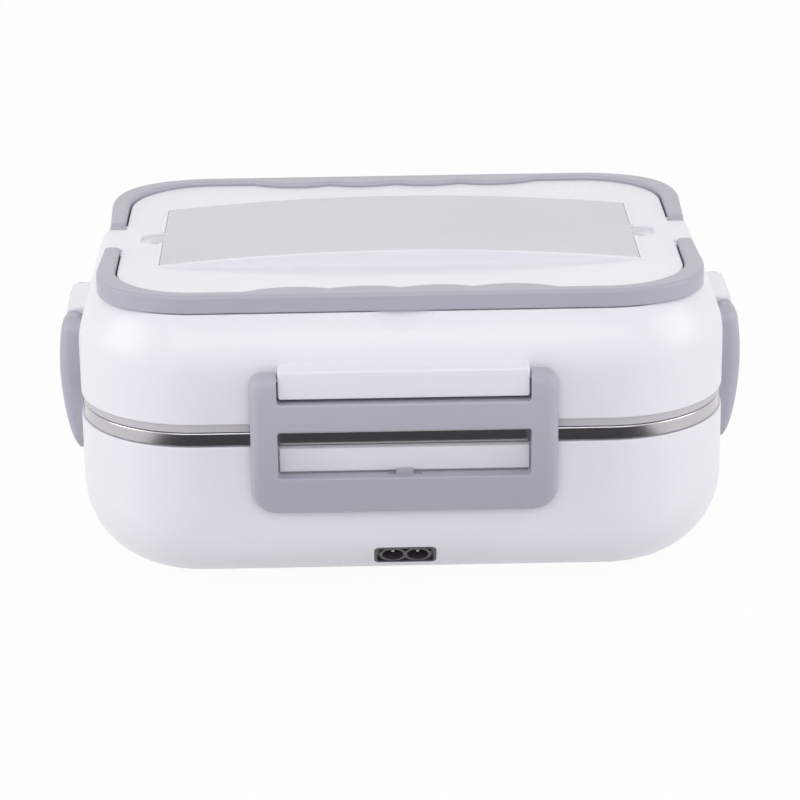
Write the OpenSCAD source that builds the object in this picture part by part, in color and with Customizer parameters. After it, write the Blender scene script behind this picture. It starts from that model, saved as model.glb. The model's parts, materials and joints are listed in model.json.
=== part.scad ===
// Electric lunch box: a heated base with a steel food container, and a lift-off lid
// with four clip latches, two folding carry handles and a cutlery compartment.
// Millimetres. Origin on the floor under the middle of the box, front towards -Y, +Z up.

/* [Body] */
// Width of the body without the latches
body_w = 230; // [215:1:260]
// Depth of the body without the latches
body_d = 170; // [160:1:200]
// Radius of the body's upright corners, seen from above
corner_r = 43.5; // [40:0.5:50]
// Wall of the moulded shells
wall = 2.5; // [2:0.1:2.8]
// Height of the base shell, from its underside to its top edge
base_h = 55.7; // [50:0.1:70]
// Radius that rounds the base shell's side into its underside
base_round = 31; // [28:0.5:34]

/* [Container] */
// Height of the steel band that shows between base and lid
rim_h = 5.1; // [4:0.1:7]
// Sheet thickness of the steel container
steel_t = 0.8; // [0.5:0.1:1.2]
// Height of the room for the heater, from the base's underside to the container
heater_room = 20; // [19:0.1:24]
// Radius between the container's wall and its floor, outside
container_round = 26; // [20:0.5:28]
// Distance from the body's outline to the container's wall
container_inset = 7.5; // [7:0.1:10]
// Distance from the body's outline to the rolled rim
rim_inset = 0.8; // [0.4:0.1:1.4]

/* [Heater] */
// Width of the heating plate
plate_w = 116; // [90:1:130]
// Depth of the heating plate
plate_d = 76; // [70:1:80]
// Thickness of the heating plate
plate_t = 3.2; // [2.4:0.1:3.6]
// Width of the heating element
element_w = 70; // [50:1:76]
// Depth of the heating element
element_d = 44; // [30:1:48]
// Thickness of the heating element
element_t = 1.2; // [0.8:0.1:1.6]

/* [Inlet] */
// Width of the power inlet's face
inlet_w = 22; // [20:0.5:26]
// Height of the power inlet's face
inlet_h = 10.8; // [10:0.2:12]
// Depth of the power inlet's housing
inlet_depth = 12; // [10:0.5:12]
// Downward tilt of the inlet's face
inlet_tilt = 40; // [36:1:44]
// Distance between the two contact pins
pin_pitch = 8.8; // [8.6:0.1:9]
// Bore of each pin's well
well_bore = 7.6; // [7:0.1:7.8]
// Diameter of the contact pins
contact_d = 2.4; // [2:0.1:2.6]

/* [Feet] */
// Height that the feet stand proud of the underside
foot_h = 1.5; // [1:0.1:2]
// Diameter of the feet
foot_d = 12; // [9:0.5:14]
// Distance of the feet from the middle, along X
foot_x = 70; // [68:1:76]
// Distance of the feet from the middle, along Y
foot_y = 46; // [45:1:47]

/* [Lid] */
// Height of the grey seal strip that shows under the lid
strip_h = 3.8; // [3:0.1:5]
// Height of the lid's upright side, above its lower edge
lid_side_h = 17.2; // [15:0.2:22]
// Height of the lid's round shoulder
shoulder_h = 19.7; // [17:0.1:22]
// Height of the raised deck inside the handle ring
deck_h = 5.2; // [4.6:0.1:6]
// Wall of the cutlery well
well_wall = 2; // [1.6:0.1:2.4]

/* [Handles] */
// Distance from the body's outline to the outer face of the handle ring
ring_inset = 8.3; // [7:0.1:10]
// Width of the handle bars, seen from above
ring_w = 5.6; // [5:0.1:6.4]
// Thickness of the handle bars
ring_t = 6.5; // [6:0.1:7]
// Rounding of the handle bars' edges
ring_edge = 0.9; // [0.5:0.1:1.4]
// Distance between the finger humps of a handle
hump_pitch = 25.1; // [22:0.1:28]
// Height of the finger humps
hump_h = 4.8; // [3.6:0.1:5.4]
// Radius of the finger humps
hump_r = 31.6; // [28:0.1:36]
// Number of finger humps on each handle
hump_count = 4; // [3:1:5]
// Distance of each handle's pivot from the middle
pivot_y = 16.4; // [14:0.1:20]
// Diameter of the handle pins
handle_pin_d = 2; // [1.6:0.1:2.2]
// Angle that each handle folds up
handle_swing = 90; // [60:5:90]

/* [Latches] */
// Overall width of the front and back latches
long_latch_w = 106.4; // [96:0.2:116]
// Overall width of the side latches
short_latch_w = 50; // [44:0.5:56]
// Width of each latch arm
arm_w = 9.4; // [8:0.1:11]
// Distance from the base's top edge down to the latches' lower edge
latch_drop = 23.4; // [22:0.1:24]
// Farthest that the latches stand out from the body
latch_out = 9.4; // [9:0.1:10]
// Radius of the latches' bowed face
bow_r = 100; // [90:1:120]
// Rounding of the latches' upright edges
latch_edge = 3.4; // [2:0.1:3.8]
// Rounding of the latches' corners
latch_corner = 8; // [5:0.5:9]
// Height of the latches' upper bar
top_bar_h = 9.8; // [8:0.1:10]
// Height of the latches' lower bar
low_bar_h = 14.2; // [13:0.1:14.8]
// Distance from the body to the middle of the latch pins
pin_out = 3.6; // [3.5:0.05:3.7]
// Diameter of the latch pins
latch_pin_d = 2; // [1.6:0.1:2.2]
// Height of the hinge blocks
block_h = 10.1; // [9:0.1:10.2]
// Distance that the hinge blocks stand out
block_out = 5.4; // [5.2:0.1:5.5]
// Distance that the catches stand out
catch_out = 2.1; // [1.6:0.1:2.2]

/* [Cutlery compartment] */
// Width of the cutlery cover
cover_w = 172; // [150:1:174]
// Depth of the cutlery cover
cover_d = 70.7; // [60:0.5:76]
// Thickness of the cutlery cover
cover_t = 1.8; // [1.4:0.1:2.2]
// Rise of the cover's arch in the middle
arch_rise = 4.7; // [3.6:0.1:5.4]
// Depth of the cutlery well under the deck
well_depth = 20; // [14:0.5:24]
// Width of the ledge that carries the cover
cover_ledge = 4; // [3:0.1:5]

/* [Fits] */
// Gap between parts that lift or slide past each other
slide_gap = 0.3; // [0.25:0.05:0.4]
// Gap under parts that rest on one another
seat_gap = 0.2; // [0.1:0.05:0.3]
// Radial clearance of a pin in its bore
pin_gap = 0.05; // [0.03:0.01:0.08]
// Gap between the handle ring and the deck
deck_gap = 0.9; // [0.7:0.05:1.2]

/* [Hidden] */

$fa = 5;
$fs = 0.7;

WHITE = "whitesmoke";
GREY = "#acabb4";
STEEL = "silver";
past = 1;        // how far a cut runs past the face that it opens
fine_fn = 720;   // steps of the wide, flat arcs

// Heights above the floor
base_z0 = foot_h;
base_top = base_z0 + base_h;
rim_top = base_top + rim_h;
lid_z0 = rim_top + strip_h;
shoulder_z = lid_z0 + lid_side_h;
ledge_z = shoulder_z + shoulder_h;
deck_z = ledge_z + deck_h;
ring_z0 = ledge_z + slide_gap;
ring_top = ring_z0 + ring_t;
pivot_z = ring_z0 + ring_t / 2;

// Shoulder arc: upright at shoulder_z, and ring_inset further in at ledge_z
shoulder_r = (pow(shoulder_h, 2) + pow(ring_inset, 2)) / (2 * ring_inset);

// Base: liner and container, from the outside in
shell_in = corner_r - wall;
liner_t = 1.8;
container_r = corner_r - container_inset;
liner_gap = 0.8;
liner_in = container_r + liner_gap;
liner_out = liner_in + liner_t;
flange_t = 2;
flange_drop = 0.4;
liner_top = base_top - flange_drop;
container_z0 = base_z0 + heater_room;
plate_top = container_z0 - slide_gap;
plate_lip = 0.5;
plate_lip_w = 3;
plate_r = 12;
liner_floor = plate_top - plate_lip;
liner_round = container_round + liner_gap;
plate_z0 = plate_top - plate_t;
element_z0 = plate_z0 - element_t;
terminal_l = 5;
thermostat_w = 8;
thermostat_d = 20;
thermostat_x = (plate_w - thermostat_w) / 2 - 6;
part_h = 3.6;
tag_w = 3;
tag_l = 3.8;
fuse_l = 12;
lead_d = 1.8;
end_z = plate_z0 - part_h / 2 - 0.1;
clamp_t = 1;
clamp_w = 10;
clamp_screw_d = 3;
clamp_y = element_d / 2 + 6;
boss_d = 8;
post_d = 10;
post_h = 6;
screw_d = 3;
screw_head_d = 5.8;
screw_head_h = 2.2;
foot_seat = 1;
post_top = base_z0 + wall + post_h;

// Inlet: its face touches the base's round at this angle
round_y = -(body_d / 2 - base_round);
round_z = base_z0 + base_round;
inlet_sunk = 0.3;
inlet_corner = 2;
tail = 2.2;

// Latches and hinge blocks, as distances out from the body's side
pin_z = shoulder_z - 0.8;
knuckle_r = pin_out - 0.4;
block_gap = 0.3;
block_top = pin_z + 3.8;
block_z0 = block_top - block_h;
bar_gap = 0.8;
latch_z0 = base_top - latch_drop;
window_top = block_z0 - bar_gap - top_bar_h;
window_z0 = latch_z0 + low_bar_h;
latch_in = 1;
hook_in = catch_out + slide_gap;
bow_z = latch_z0 + 32.2;
catch_gap = 0.4;
catch_top = base_top - 0.5;
latch_swing = 105;
tongue_w = 6.1;
tongue_slot = 2.9;
tongue_h = 1.6;
pocket_wall = 2.2;

// Lid: deck, ring and cutlery compartment
ring_r = corner_r - ring_inset;
ring_out_w = body_w - 2 * ring_inset;
ring_out_d = body_d - 2 * ring_inset;
deck_inset = ring_w + deck_gap;
deck_w = ring_out_w - 2 * deck_inset;
deck_d = ring_out_d - 2 * deck_inset;
deck_r = ring_r - deck_inset;
plinth_w = cover_w + 3;
plinth_d = cover_d + 3;
crown_z = deck_z + arch_rise;
arch_drop = arch_rise - 0.3;
arch_r = (pow(plinth_w / 2, 2) + pow(arch_drop, 2)) / (2 * arch_drop);
well_w = cover_w - 2 * cover_ledge;
well_d = cover_d - 2 * cover_ledge;
well_r = 8;
well_z0 = deck_z - well_depth;
collar_h = 4.4;
notch_w = 12;
notch_l = 9;
notch_depth = 3;
tab_w = 8;
tab_l = 3.5;
pivot_half = pivot_y - ring_t / 2 - 0.45;
pivot_block_w = ring_w + deck_gap + wall / 2 - 0.3;
pin_root = 4;
boss_w = 7;
boss_x = cover_w / 2 - well_wall;
scoop_r = 40;
scoop_depth = 1.5;

// Inner lid and seal
inner_t = 1.8;
inner_gap = 0.2;
skirt_r = corner_r - 0.9;
skirt_t = 3.4;
seal_t = 4.4;
seal_h = strip_h - seat_gap - 1.2;
plug_t = 1.6;
plug_drop = 5;
tab_t = 1.6;
snap_w = 9;
snap_h = 6;

// ---- Shapes used by several parts ----

// A section drawn from the corners' axis outwards, swept round the rounded rectangle
module round_sweep(w, d, r) {
    for (q = [0:3])
        rotate([0, 0, 90 * q])
            translate(q % 2 == 0 ? [w / 2 - r, d / 2 - r, 0] : [d / 2 - r, w / 2 - r, 0])
                rotate_extrude(angle = 90) children();
    for (q = [0:3])
        rotate([0, 0, 90 * q])
            translate([(q % 2 == 0 ? w : d) / 2 - r, 0, 0])
                rotate([90, 0, 0])
                    linear_extrude(height = (q % 2 == 0 ? d : w) - 2 * r, center = true) children();
}

// The block that fills the middle of a swept body
module core(w, d, r, z0, z1) {
    translate([-(w / 2 - r), -(d / 2 - r), z0]) cube([w - 2 * r, d - 2 * r, z1 - z0]);
}

module body_sweep() {
    round_sweep(body_w, body_d, corner_r) children();
}

module body_core(z0, z1) {
    core(body_w, body_d, corner_r, z0, z1);
}

// Rounded rectangle, centred
module rounded(w, d, r) {
    square([w - 2 * r, d], center = true);
    square([w, d - 2 * r], center = true);
    for (x = [-1, 1], y = [-1, 1])
        translate([x * (w / 2 - r), y * (d / 2 - r)]) circle(r);
}

module slab(w, d, r, z0, z1) {
    translate([0, 0, z0]) linear_extrude(height = z1 - z0) rounded(w, d, r);
}

// Section of a tub whose outside reaches out to r and is rounded into its floor
module tub_section(r, round_r, z0, z1) {
    translate([0, z0]) square([r - round_r, z1 - z0]);
    translate([r - round_r, z0 + round_r]) square([round_r, z1 - z0 - round_r]);
    intersection() {
        translate([r - round_r, z0 + round_r]) circle(round_r);
        translate([r - round_r, z0]) square(round_r);
    }
}

// Section of the domed lid out to r, up to z1
module dome_section(r, arc_r, z0, z1) {
    translate([0, z0]) square([r - arc_r, z1 - z0]);
    translate([r - arc_r, z0]) square([arc_r, shoulder_z - z0]);
    intersection() {
        translate([r - arc_r, shoulder_z]) circle(arc_r);
        translate([r - arc_r, shoulder_z]) square([arc_r, z1 - shoulder_z]);
    }
}

// A rectangle with all four corners rounded, lower left corner at the origin
module soft_box(w, h, r) {
    translate([w / 2, h / 2]) rounded(w, h, r);
}

// Places children on a side: 0 front, 1 right, 2 back, 3 left. There -Y points out.
module on_side(k) {
    rotate([0, 0, 90 * k]) translate([0, -(k % 2 == 0 ? body_d : body_w) / 2, 0]) children();
}

// A section drawn as (distance out, height), drawn out along the side
module along_side(length) {
    rotate([90, 0, -90]) linear_extrude(height = length, center = true) children();
}

// Places children on the inlet's face, with +Z pointing out of it
module at_inlet() {
    translate([0, round_y, round_z]) rotate([90 + inlet_tilt, 0, 0])
        translate([0, 0, base_round - inlet_sunk]) children();
}

// A point given in the inlet's own directions
function inlet_point(x, up, out) =
    let (s = base_round - inlet_sunk + out)
    [x, round_y - s * cos(inlet_tilt) - up * sin(inlet_tilt),
     round_z - s * sin(inlet_tilt) + up * cos(inlet_tilt)];

module rod(a, b, d) {
    v = b - a;
    translate(a) rotate([0, acos(v[2] / norm(v)), atan2(v[1], v[0])])
        cylinder(d = d, h = norm(v));
}

// Insulated lead through a row of points, with round bends
module lead(points, d) {
    for (i = [0:len(points) - 2]) rod(points[i], points[i + 1], d);
    for (i = [1:len(points) - 2]) translate(points[i]) sphere(d = d * 1.06);
}

module screw(head_d, head_h, shank_d, length) {
    difference() {
        cylinder(d = head_d, h = head_h);
        for (a = [0, 90]) rotate([0, 0, a])
            translate([0, 0, -past]) linear_extrude(height = past + head_h / 2)
                square([head_d * 0.6, 0.9], center = true);
    }
    translate([0, 0, head_h]) cylinder(d = shank_d, h = length);
}

module at_feet() {
    for (x = [-foot_x, foot_x], y = [-foot_y, foot_y]) translate([x, y, 0]) children();
}

// ---- Base ----

module catch_section() {
    z0 = window_z0 + catch_gap;
    polygon([[-past, z0], [catch_out - 0.5, z0], [catch_out, z0 + 0.8],
             [catch_out, catch_top - 0.5], [catch_out - 0.5, catch_top], [-past, catch_top]]);
}

module base_shell() {
    ledge_w = 2;
    ledge_h = 2.5;
    color(WHITE) difference() {
        union() {
            body_sweep() difference() {
                tub_section(corner_r, base_round, base_z0, base_top);
                tub_section(shell_in, base_round - wall, base_z0 + wall, base_top + past);
            }
            body_core(base_z0, base_z0 + wall);
            body_sweep() translate([shell_in - ledge_w, liner_top - flange_t - ledge_h])
                square([ledge_w + wall / 2, ledge_h]);
            at_feet() translate([0, 0, base_z0 + wall / 2])
                cylinder(d = post_d, h = post_top - base_z0 - wall / 2);
            for (k = [0:3]) on_side(k)
                along_side(2 * block_half(k % 2 == 0 ? long_latch_w : short_latch_w)) catch_section();
        }
        at_feet() {
            translate([0, 0, base_z0 - past]) cylinder(d = foot_d + 2 * slide_gap, h = past + foot_seat);
            translate([0, 0, base_z0]) cylinder(d = screw_head_d + 0.6, h = foot_seat + screw_head_h + 0.6);
            cylinder(d = screw_d + 0.4, h = post_top + past);
        }
        at_inlet() translate([0, 0, -inlet_depth / 2]) linear_extrude(height = inlet_depth)
            rounded(inlet_w + 2 * pin_gap, inlet_h + 2 * pin_gap, inlet_corner);
    }
}

module base_liner() {
    color("#d9dade") difference() {
        union() {
            body_sweep() difference() {
                union() {
                    tub_section(liner_out, liner_round + liner_t, liner_floor - liner_t, liner_top);
                    translate([0, liner_top - flange_t]) square([shell_in - slide_gap, flange_t]);
                }
                tub_section(liner_in, liner_round, liner_floor, liner_top + past);
            }
            body_core(liner_floor - liner_t, liner_floor);
            at_feet() translate([0, 0, post_top + seat_gap])
                cylinder(d = boss_d, h = liner_floor - post_top - seat_gap - liner_t / 2);
        }
        slab(plate_w + 2 * slide_gap, plate_d + 2 * slide_gap, plate_r,
             liner_floor - liner_t - past, liner_floor + past);
        at_feet() translate([0, 0, post_top])
            cylinder(d = screw_d + 2 * pin_gap, h = liner_floor - liner_t - post_top);
    }
}

module base_screws() {
    screw_z = base_z0 + foot_seat + 0.6;
    color("dimgray") at_feet() translate([0, 0, screw_z])
        screw(screw_head_d, screw_head_h, screw_d, post_top - screw_z - screw_head_h + 6);
}

module feet() {
    dome = 0.6;
    color("#55565c") at_feet() {
        cylinder(d1 = foot_d - 2 * dome, d2 = foot_d, h = dome);
        translate([0, 0, dome]) cylinder(d = foot_d, h = base_z0 + foot_seat - dome);
    }
}

module food_container() {
    rim_out = corner_r - rim_inset;
    rim_round = 1.6;
    color(STEEL) {
        body_sweep() {
            difference() {
                tub_section(container_r, container_round, container_z0, rim_top);
                tub_section(container_r - steel_t, container_round - steel_t,
                            container_z0 + steel_t, rim_top + past);
            }
            difference() {
                rim_profile(rim_out, rim_round);
                rim_profile(rim_out - steel_t, rim_round - steel_t, steel_t);
            }
        }
        body_core(container_z0, container_z0 + steel_t);
    }
}

// Section of the rim: a flat flange that turns down into a skirt with a round shoulder
module rim_profile(reach, round_r, drop = 0) {
    z0 = base_top + seat_gap - (drop > 0 ? past : 0);
    top = rim_top - drop;
    translate([container_r - steel_t / 2, z0]) square([reach - round_r - container_r + steel_t / 2, top - z0]);
    translate([reach - round_r, z0]) square([round_r, top - round_r - z0]);
    intersection() {
        translate([reach - round_r, top - round_r]) circle(round_r);
        translate([reach - round_r, top - round_r]) square(round_r);
    }
}

module heating_plate() {
    screw_pad = 7;
    color("lightgray") difference() {
        union() {
            slab(plate_w, plate_d, plate_r, plate_z0, plate_top);
            slab(plate_w + 2 * plate_lip_w, plate_d + 2 * plate_lip_w, plate_r + plate_lip_w,
                 liner_floor, plate_top);
            for (y = [-clamp_y, clamp_y]) translate([0, y, element_z0])
                cylinder(d = screw_pad, h = element_t + 0.1);
        }
        for (y = [-clamp_y, clamp_y]) translate([0, y, element_z0 - past])
            cylinder(d = clamp_screw_d + 2 * pin_gap, h = past + element_t + 2.2);
    }
}

module heating_element() {
    color("#8a5a33") slab(element_w, element_d, 3, element_z0, plate_z0);
    color("gold") for (s = [-1, 1])
        translate([s * (element_w / 2 + terminal_l / 2 - 0.5), 0, element_z0 + 0.35])
            cube([terminal_l + 1, tag_w + 1, 0.5], center = true);
}

module element_clamp() {
    color(STEEL) difference() {
        slab(clamp_w, 2 * clamp_y + clamp_w, clamp_w / 2 - 0.1, element_z0 - clamp_t, element_z0);
        for (y = [-clamp_y, clamp_y]) translate([0, y, element_z0 - clamp_t - past])
            cylinder(d = clamp_screw_d + 2 * pin_gap, h = clamp_t + 2 * past);
    }
}

module clamp_screws() {
    color("dimgray") for (y = [-clamp_y, clamp_y])
        translate([0, y, element_z0 - clamp_t - screw_head_h])
            screw(screw_head_d, screw_head_h, clamp_screw_d, clamp_t + element_t + 1.8);
}

module thermostat() {
    color("#3a3a3e") translate([thermostat_x, 0, 0])
        slab(thermostat_w, thermostat_d, thermostat_w / 6, plate_z0 - part_h, plate_z0);
    color("gold") for (s = [-1, 1])
        translate([thermostat_x, s * (thermostat_d + tag_l) / 2, plate_z0 - part_h / 2])
            cube([tag_w, tag_l + 0.2, 0.6], center = true);
}

module thermal_fuse() {
    color("ivory") translate([-thermostat_x, 0, end_z]) rotate([90, 0, 0]) {
        cylinder(d = part_h, h = fuse_l, center = true);
        cylinder(d = 1, h = fuse_l + 2 * tag_l, center = true);
    }
}

// Four leads: inlet to thermostat and fuse, and from these to the heating element
module supply_leads() {
    run_z = base_z0 + wall + lead_d;
    side_y = thermostat_d / 2 + tag_l;
    colours = ["#c8453a", "#3f6fb5"];
    for (s = [1, -1]) color(colours[s > 0 ? 0 : 1]) {
        lead([
            inlet_point(s * pin_pitch / 2, -lead_d - 0.8, 1 - inlet_depth - tail),
            inlet_point(s * pin_pitch / 2, -5 * lead_d, 1 - inlet_depth - tail),
            [s * plate_w / 6, round_y + 2 * lead_d, run_z],
            [s * thermostat_x, -side_y - 9 * lead_d, run_z + lead_d],
            [s * thermostat_x, 0.6 - side_y, end_z]], lead_d);
        lead([
            [s * thermostat_x, side_y - 0.6, end_z],
            [s * thermostat_x, side_y + 3 * lead_d, run_z + lead_d],
            [s * (element_w / 2 + 3.4 * lead_d), side_y - 2 * lead_d, run_z + lead_d],
            [s * (element_w / 2 + terminal_l / 2 + 0.6), 0, element_z0 - 0.5]], lead_d);
    }
}

module inlet_housing() {
    well_depth_in = inlet_depth - 3;
    collar_t = 1.1;
    face_drop = 1.2;
    color("#3b393f") at_inlet() difference() {
        union() {
            difference() {
                translate([0, 0, -inlet_depth]) linear_extrude(height = inlet_depth)
                    rounded(inlet_w, inlet_h, inlet_corner);
                translate([0, 0, -face_drop]) linear_extrude(height = face_drop + past)
                    rounded(inlet_w - 2, inlet_h - 1.6, inlet_corner - 0.7);
            }
            for (x = [-1, 1]) translate([x * pin_pitch / 2, 0, -inlet_depth])
                cylinder(d = well_bore + 2 * collar_t - 0.2, h = inlet_depth - 0.2);
        }
        for (x = [-1, 1]) translate([x * pin_pitch / 2, 0, 0]) {
            translate([0, 0, -well_depth_in]) cylinder(d = well_bore, h = well_depth_in + past);
            translate([0, 0, -inlet_depth - past])
                cylinder(d = contact_d + 2 * pin_gap, h = inlet_depth);
        }
    }
}

module inlet_pins() {
    tip = 1.6;
    color("gainsboro") at_inlet() for (x = [-1, 1])
        translate([x * pin_pitch / 2, 0, -inlet_depth - tail]) {
            cylinder(d = contact_d, h = inlet_depth + tail - 2 * tip);
            translate([0, 0, inlet_depth + tail - 2 * tip]) cylinder(d1 = contact_d, d2 = contact_d / 2, h = tip);
        }
}

// ---- Lid ----

function block_half(latch_w) = latch_w / 2 - arm_w - block_gap;

module humps(grow = 0) {
    for (s = [-1, 1], i = [0:hump_count - 1])
        translate([(i - (hump_count - 1) / 2) * hump_pitch,
                   s * (ring_out_d / 2 - ring_w - hump_h + hump_r)])
            circle(hump_r + grow, $fn = 240);
}

module block_section() {
    polygon([[-past, block_z0], [block_out - 0.8, block_z0], [block_out, block_z0 + 0.8],
             [block_out, block_top - 1.6], [block_out - 0.5, block_top - 0.5],
             [block_out - 1.6, block_top], [-past, block_top + 1.6]]);
}

module arch(r, w, d) {
    intersection() {
        translate([0, 0, crown_z - arch_r]) rotate([90, 0, 0])
            cylinder(r = r, h = d, center = true, $fn = fine_fn);
        translate([-w / 2, -d / 2, deck_z - collar_h]) cube([w, d, collar_h + 2 * arch_rise]);
    }
}

module lid_shell() {
    rib = hump_h + wall;
    color(WHITE) difference() {
        union() {
            difference() {
                union() {
                    body_sweep() dome_section(corner_r, shoulder_r, lid_z0, ledge_z);
                    body_core(lid_z0, ledge_z);
                    translate([0, 0, ledge_z - wall]) linear_extrude(height = deck_h + wall)
                        difference() {
                            rounded(deck_w, deck_d, deck_r);
                            humps(deck_gap);
                        }
                    for (k = [0:3]) on_side(k)
                        along_side(2 * block_half(k % 2 == 0 ? long_latch_w : short_latch_w)) block_section();
                }
                body_sweep() dome_section(corner_r - wall, shoulder_r - wall, lid_z0 - past, ledge_z - wall);
                body_core(lid_z0 - past, ledge_z - wall);
                slab(deck_w - 2 * wall, deck_d - 2 * rib, deck_r - wall, ledge_z - wall - past, deck_z - wall);
            }
            arch(arch_r, plinth_w, plinth_d);
            slab(well_w + 2 * well_wall, well_d + 2 * well_wall, well_r + well_wall,
                 well_z0 - well_wall, deck_z);
            for (s = [-1, 1]) {
                // pivot block between the ends of the two handles
                translate([s * (deck_w + pivot_block_w - wall) / 2, 0, (deck_z + ledge_z) / 2 - wall / 4])
                    cube([pivot_block_w, 2 * pivot_half, deck_z - ledge_z + wall / 2], center = true);
                // solid end of the deck that holds the notch's floor and the roots of the handle pins
                translate([s > 0 ? boss_x : -deck_w / 2 + wall / 2, -pivot_y - boss_w / 2, ledge_z - wall])
                    cube([deck_w / 2 - wall / 2 - boss_x, 2 * pivot_y + boss_w, deck_z - ledge_z + wall / 2]);
            }
        }
        slab(well_w, well_d, well_r, well_z0, crown_z + past);
        intersection() {
            slab(cover_w + 2 * slide_gap, cover_d + 2 * slide_gap, 2, deck_z - collar_h, crown_z + past);
            difference() {
                translate([0, 0, crown_z]) cube([body_w, body_d, 8 * arch_rise], center = true);
                translate([0, 0, crown_z - arch_r]) rotate([90, 0, 0])
                    cylinder(r = arch_r - cover_t - slide_gap / 2, h = body_d, center = true, $fn = fine_fn);
            }
        }
        for (s = [-1, 1]) translate([s * cover_w / 2, 0, deck_z - notch_depth])
            finger_notch(s);
        pin_bores();
        for (k = [0:3]) on_side(k) translate([0, -pin_out, pin_z]) rotate([0, 90, 0])
            cylinder(d = latch_pin_d + 2 * pin_gap, h = body_w / 2, center = true);
        // finger scoops under the middle of each handle
        for (s = [-1, 1]) translate([0, s * (ring_out_d / 2 + 0.2), ledge_z - 0.3])
            rotate([-s * 45, 0, 0]) translate([0, 0, scoop_r - scoop_depth])
                rotate([0, -90, 0]) sphere(scoop_r, $fn = 180);
    }
}

// Round-ended recess beside the cover, for a fingertip or the cover's tab
module finger_notch(s) {
    linear_extrude(height = notch_depth + past) intersection() {
        union() {
            translate([s * (notch_l - notch_w / 2), 0]) circle(d = notch_w);
            translate([s * (notch_l - notch_w / 2) / 2, 0]) square([notch_l - notch_w / 2, notch_w], center = true);
        }
        translate([s * notch_l / 2, 0]) square([notch_l, notch_w], center = true);
    }
}

module at_handle_pins() {
    for (x = [-1, 1], y = [-1, 1])
        translate([x * (deck_w / 2 - pin_root), y * pivot_y, pivot_z])
            rotate([0, x * 90, 0]) children();
}

handle_pin_l = pin_root + deck_gap + ring_w - 1.6;

module pin_bores() {
    at_handle_pins() cylinder(d = handle_pin_d + 2 * pin_gap, h = handle_pin_l);
}

module handle_pins() {
    color(STEEL) at_handle_pins() translate([0, 0, pin_gap]) cylinder(d = handle_pin_d, h = handle_pin_l - 2 * pin_gap);
}

// Snap-in underside of the lid: its skirt is the strip that shows under the lid shell
module inner_lid() {
    skirt_z0 = rim_top + seat_gap;
    groove_out = skirt_r - skirt_t;
    plug_r = groove_out - seal_t - 2 * inner_gap;
    color("#cdc8ce") {
        body_sweep() {
            translate([0, lid_z0 - inner_t / 2]) square([corner_r - wall - inner_gap, inner_t]);
            translate([groove_out, skirt_z0]) square([skirt_t, lid_z0 - skirt_z0]);
            translate([plug_r - plug_t, skirt_z0 - plug_drop])
                square([plug_t, lid_z0 - skirt_z0 + plug_drop]);
        }
        body_core(lid_z0 - inner_t / 2, lid_z0 + inner_t / 2);
        // snap tabs that stand inside the lid shell's wall
        for (x = [-1, 0, 1], y = [-1, 1])
            translate([x * body_w / 4, y * (body_d / 2 - wall - inner_gap - tab_t / 2), lid_z0 + snap_h / 2])
                cube([snap_w, tab_t, snap_h], center = true);
    }
}

module lid_gasket() {
    groove_out = skirt_r - skirt_t;
    lip = 0.7;
    color("#e6e4e8") body_sweep() translate([groove_out - inner_gap - seal_t, rim_top + seat_gap]) {
        translate([lip, 0]) square([seal_t - 2 * lip, lip]);
        translate([0, lip]) square([seal_t, lid_z0 - inner_t / 2 - rim_top - seat_gap - lip]);
    }
}

module cutlery_cover() {
    skirt_wall = 1.4;
    skirt_h = 4.5;
    fit = 2 * slide_gap;
    color("#cfced4") {
        intersection() {
            slab(cover_w, cover_d, 2, deck_z - collar_h, crown_z + past);
            difference() {
                arch(arch_r, plinth_w, plinth_d);
                arch(arch_r - cover_t, plinth_w, plinth_d);
            }
        }
        intersection() {
            difference() {
                slab(well_w - fit, well_d - fit, well_r, deck_z - skirt_h, crown_z);
                slab(well_w - fit - 2 * skirt_wall, well_d - fit - 2 * skirt_wall, well_r - skirt_wall,
                     deck_z - skirt_h - past, crown_z + past);
            }
            translate([0, 0, crown_z - arch_r]) rotate([90, 0, 0])
                cylinder(r = arch_r - cover_t / 2, h = body_d, center = true, $fn = fine_fn);
        }
        for (s = [-1, 1]) translate([s * (cover_w / 2 + tab_l / 2 - 0.5), 0, deck_z - 0.6])
            cube([tab_l + 1, tab_w, cover_t - 0.8], center = true);
    }
}

// ---- Handles: each is half of the ring round the deck ----

module handle() {
    color(GREY) difference() {
        union() {
            intersection() {
                union() {
                    round_sweep(ring_out_w, ring_out_d, ring_r)
                        translate([ring_r - ring_w, ring_z0]) soft_box(ring_w, ring_t, ring_edge);
                    translate([0, 0, ring_z0]) linear_extrude(height = ring_t) intersection() {
                        humps();
                        square([ring_out_w - 2 * ring_r, ring_out_d - ring_w], center = true);
                    }
                }
                translate([-body_w / 2, -body_d / 2, 0])
                    cube([body_w, body_d / 2 - pivot_y, ring_top + past]);
            }
            for (s = [-1, 1]) translate([s * (ring_out_w - ring_w) / 2, -pivot_y, pivot_z])
                rotate([0, 90, 0]) cylinder(d = ring_t, h = ring_w, center = true);
        }
        pin_bores();
    }
}

module front_handle() { handle(); }
module back_handle() { rotate([0, 0, 180]) handle(); }

// ---- Latches, drawn on the front side with the body's face at y = 0 ----

module bow_section(w) {
    depth = latch_out + 2;
    translate([bow_r - depth, -w / 2]) square([depth - latch_edge, w]);
    translate([bow_r - depth, -w / 2 + latch_edge]) square([depth, w - 2 * latch_edge]);
    for (s = [-1, 1]) translate([bow_r - latch_edge, s * (w / 2 - latch_edge)]) circle(latch_edge);
}

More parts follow.
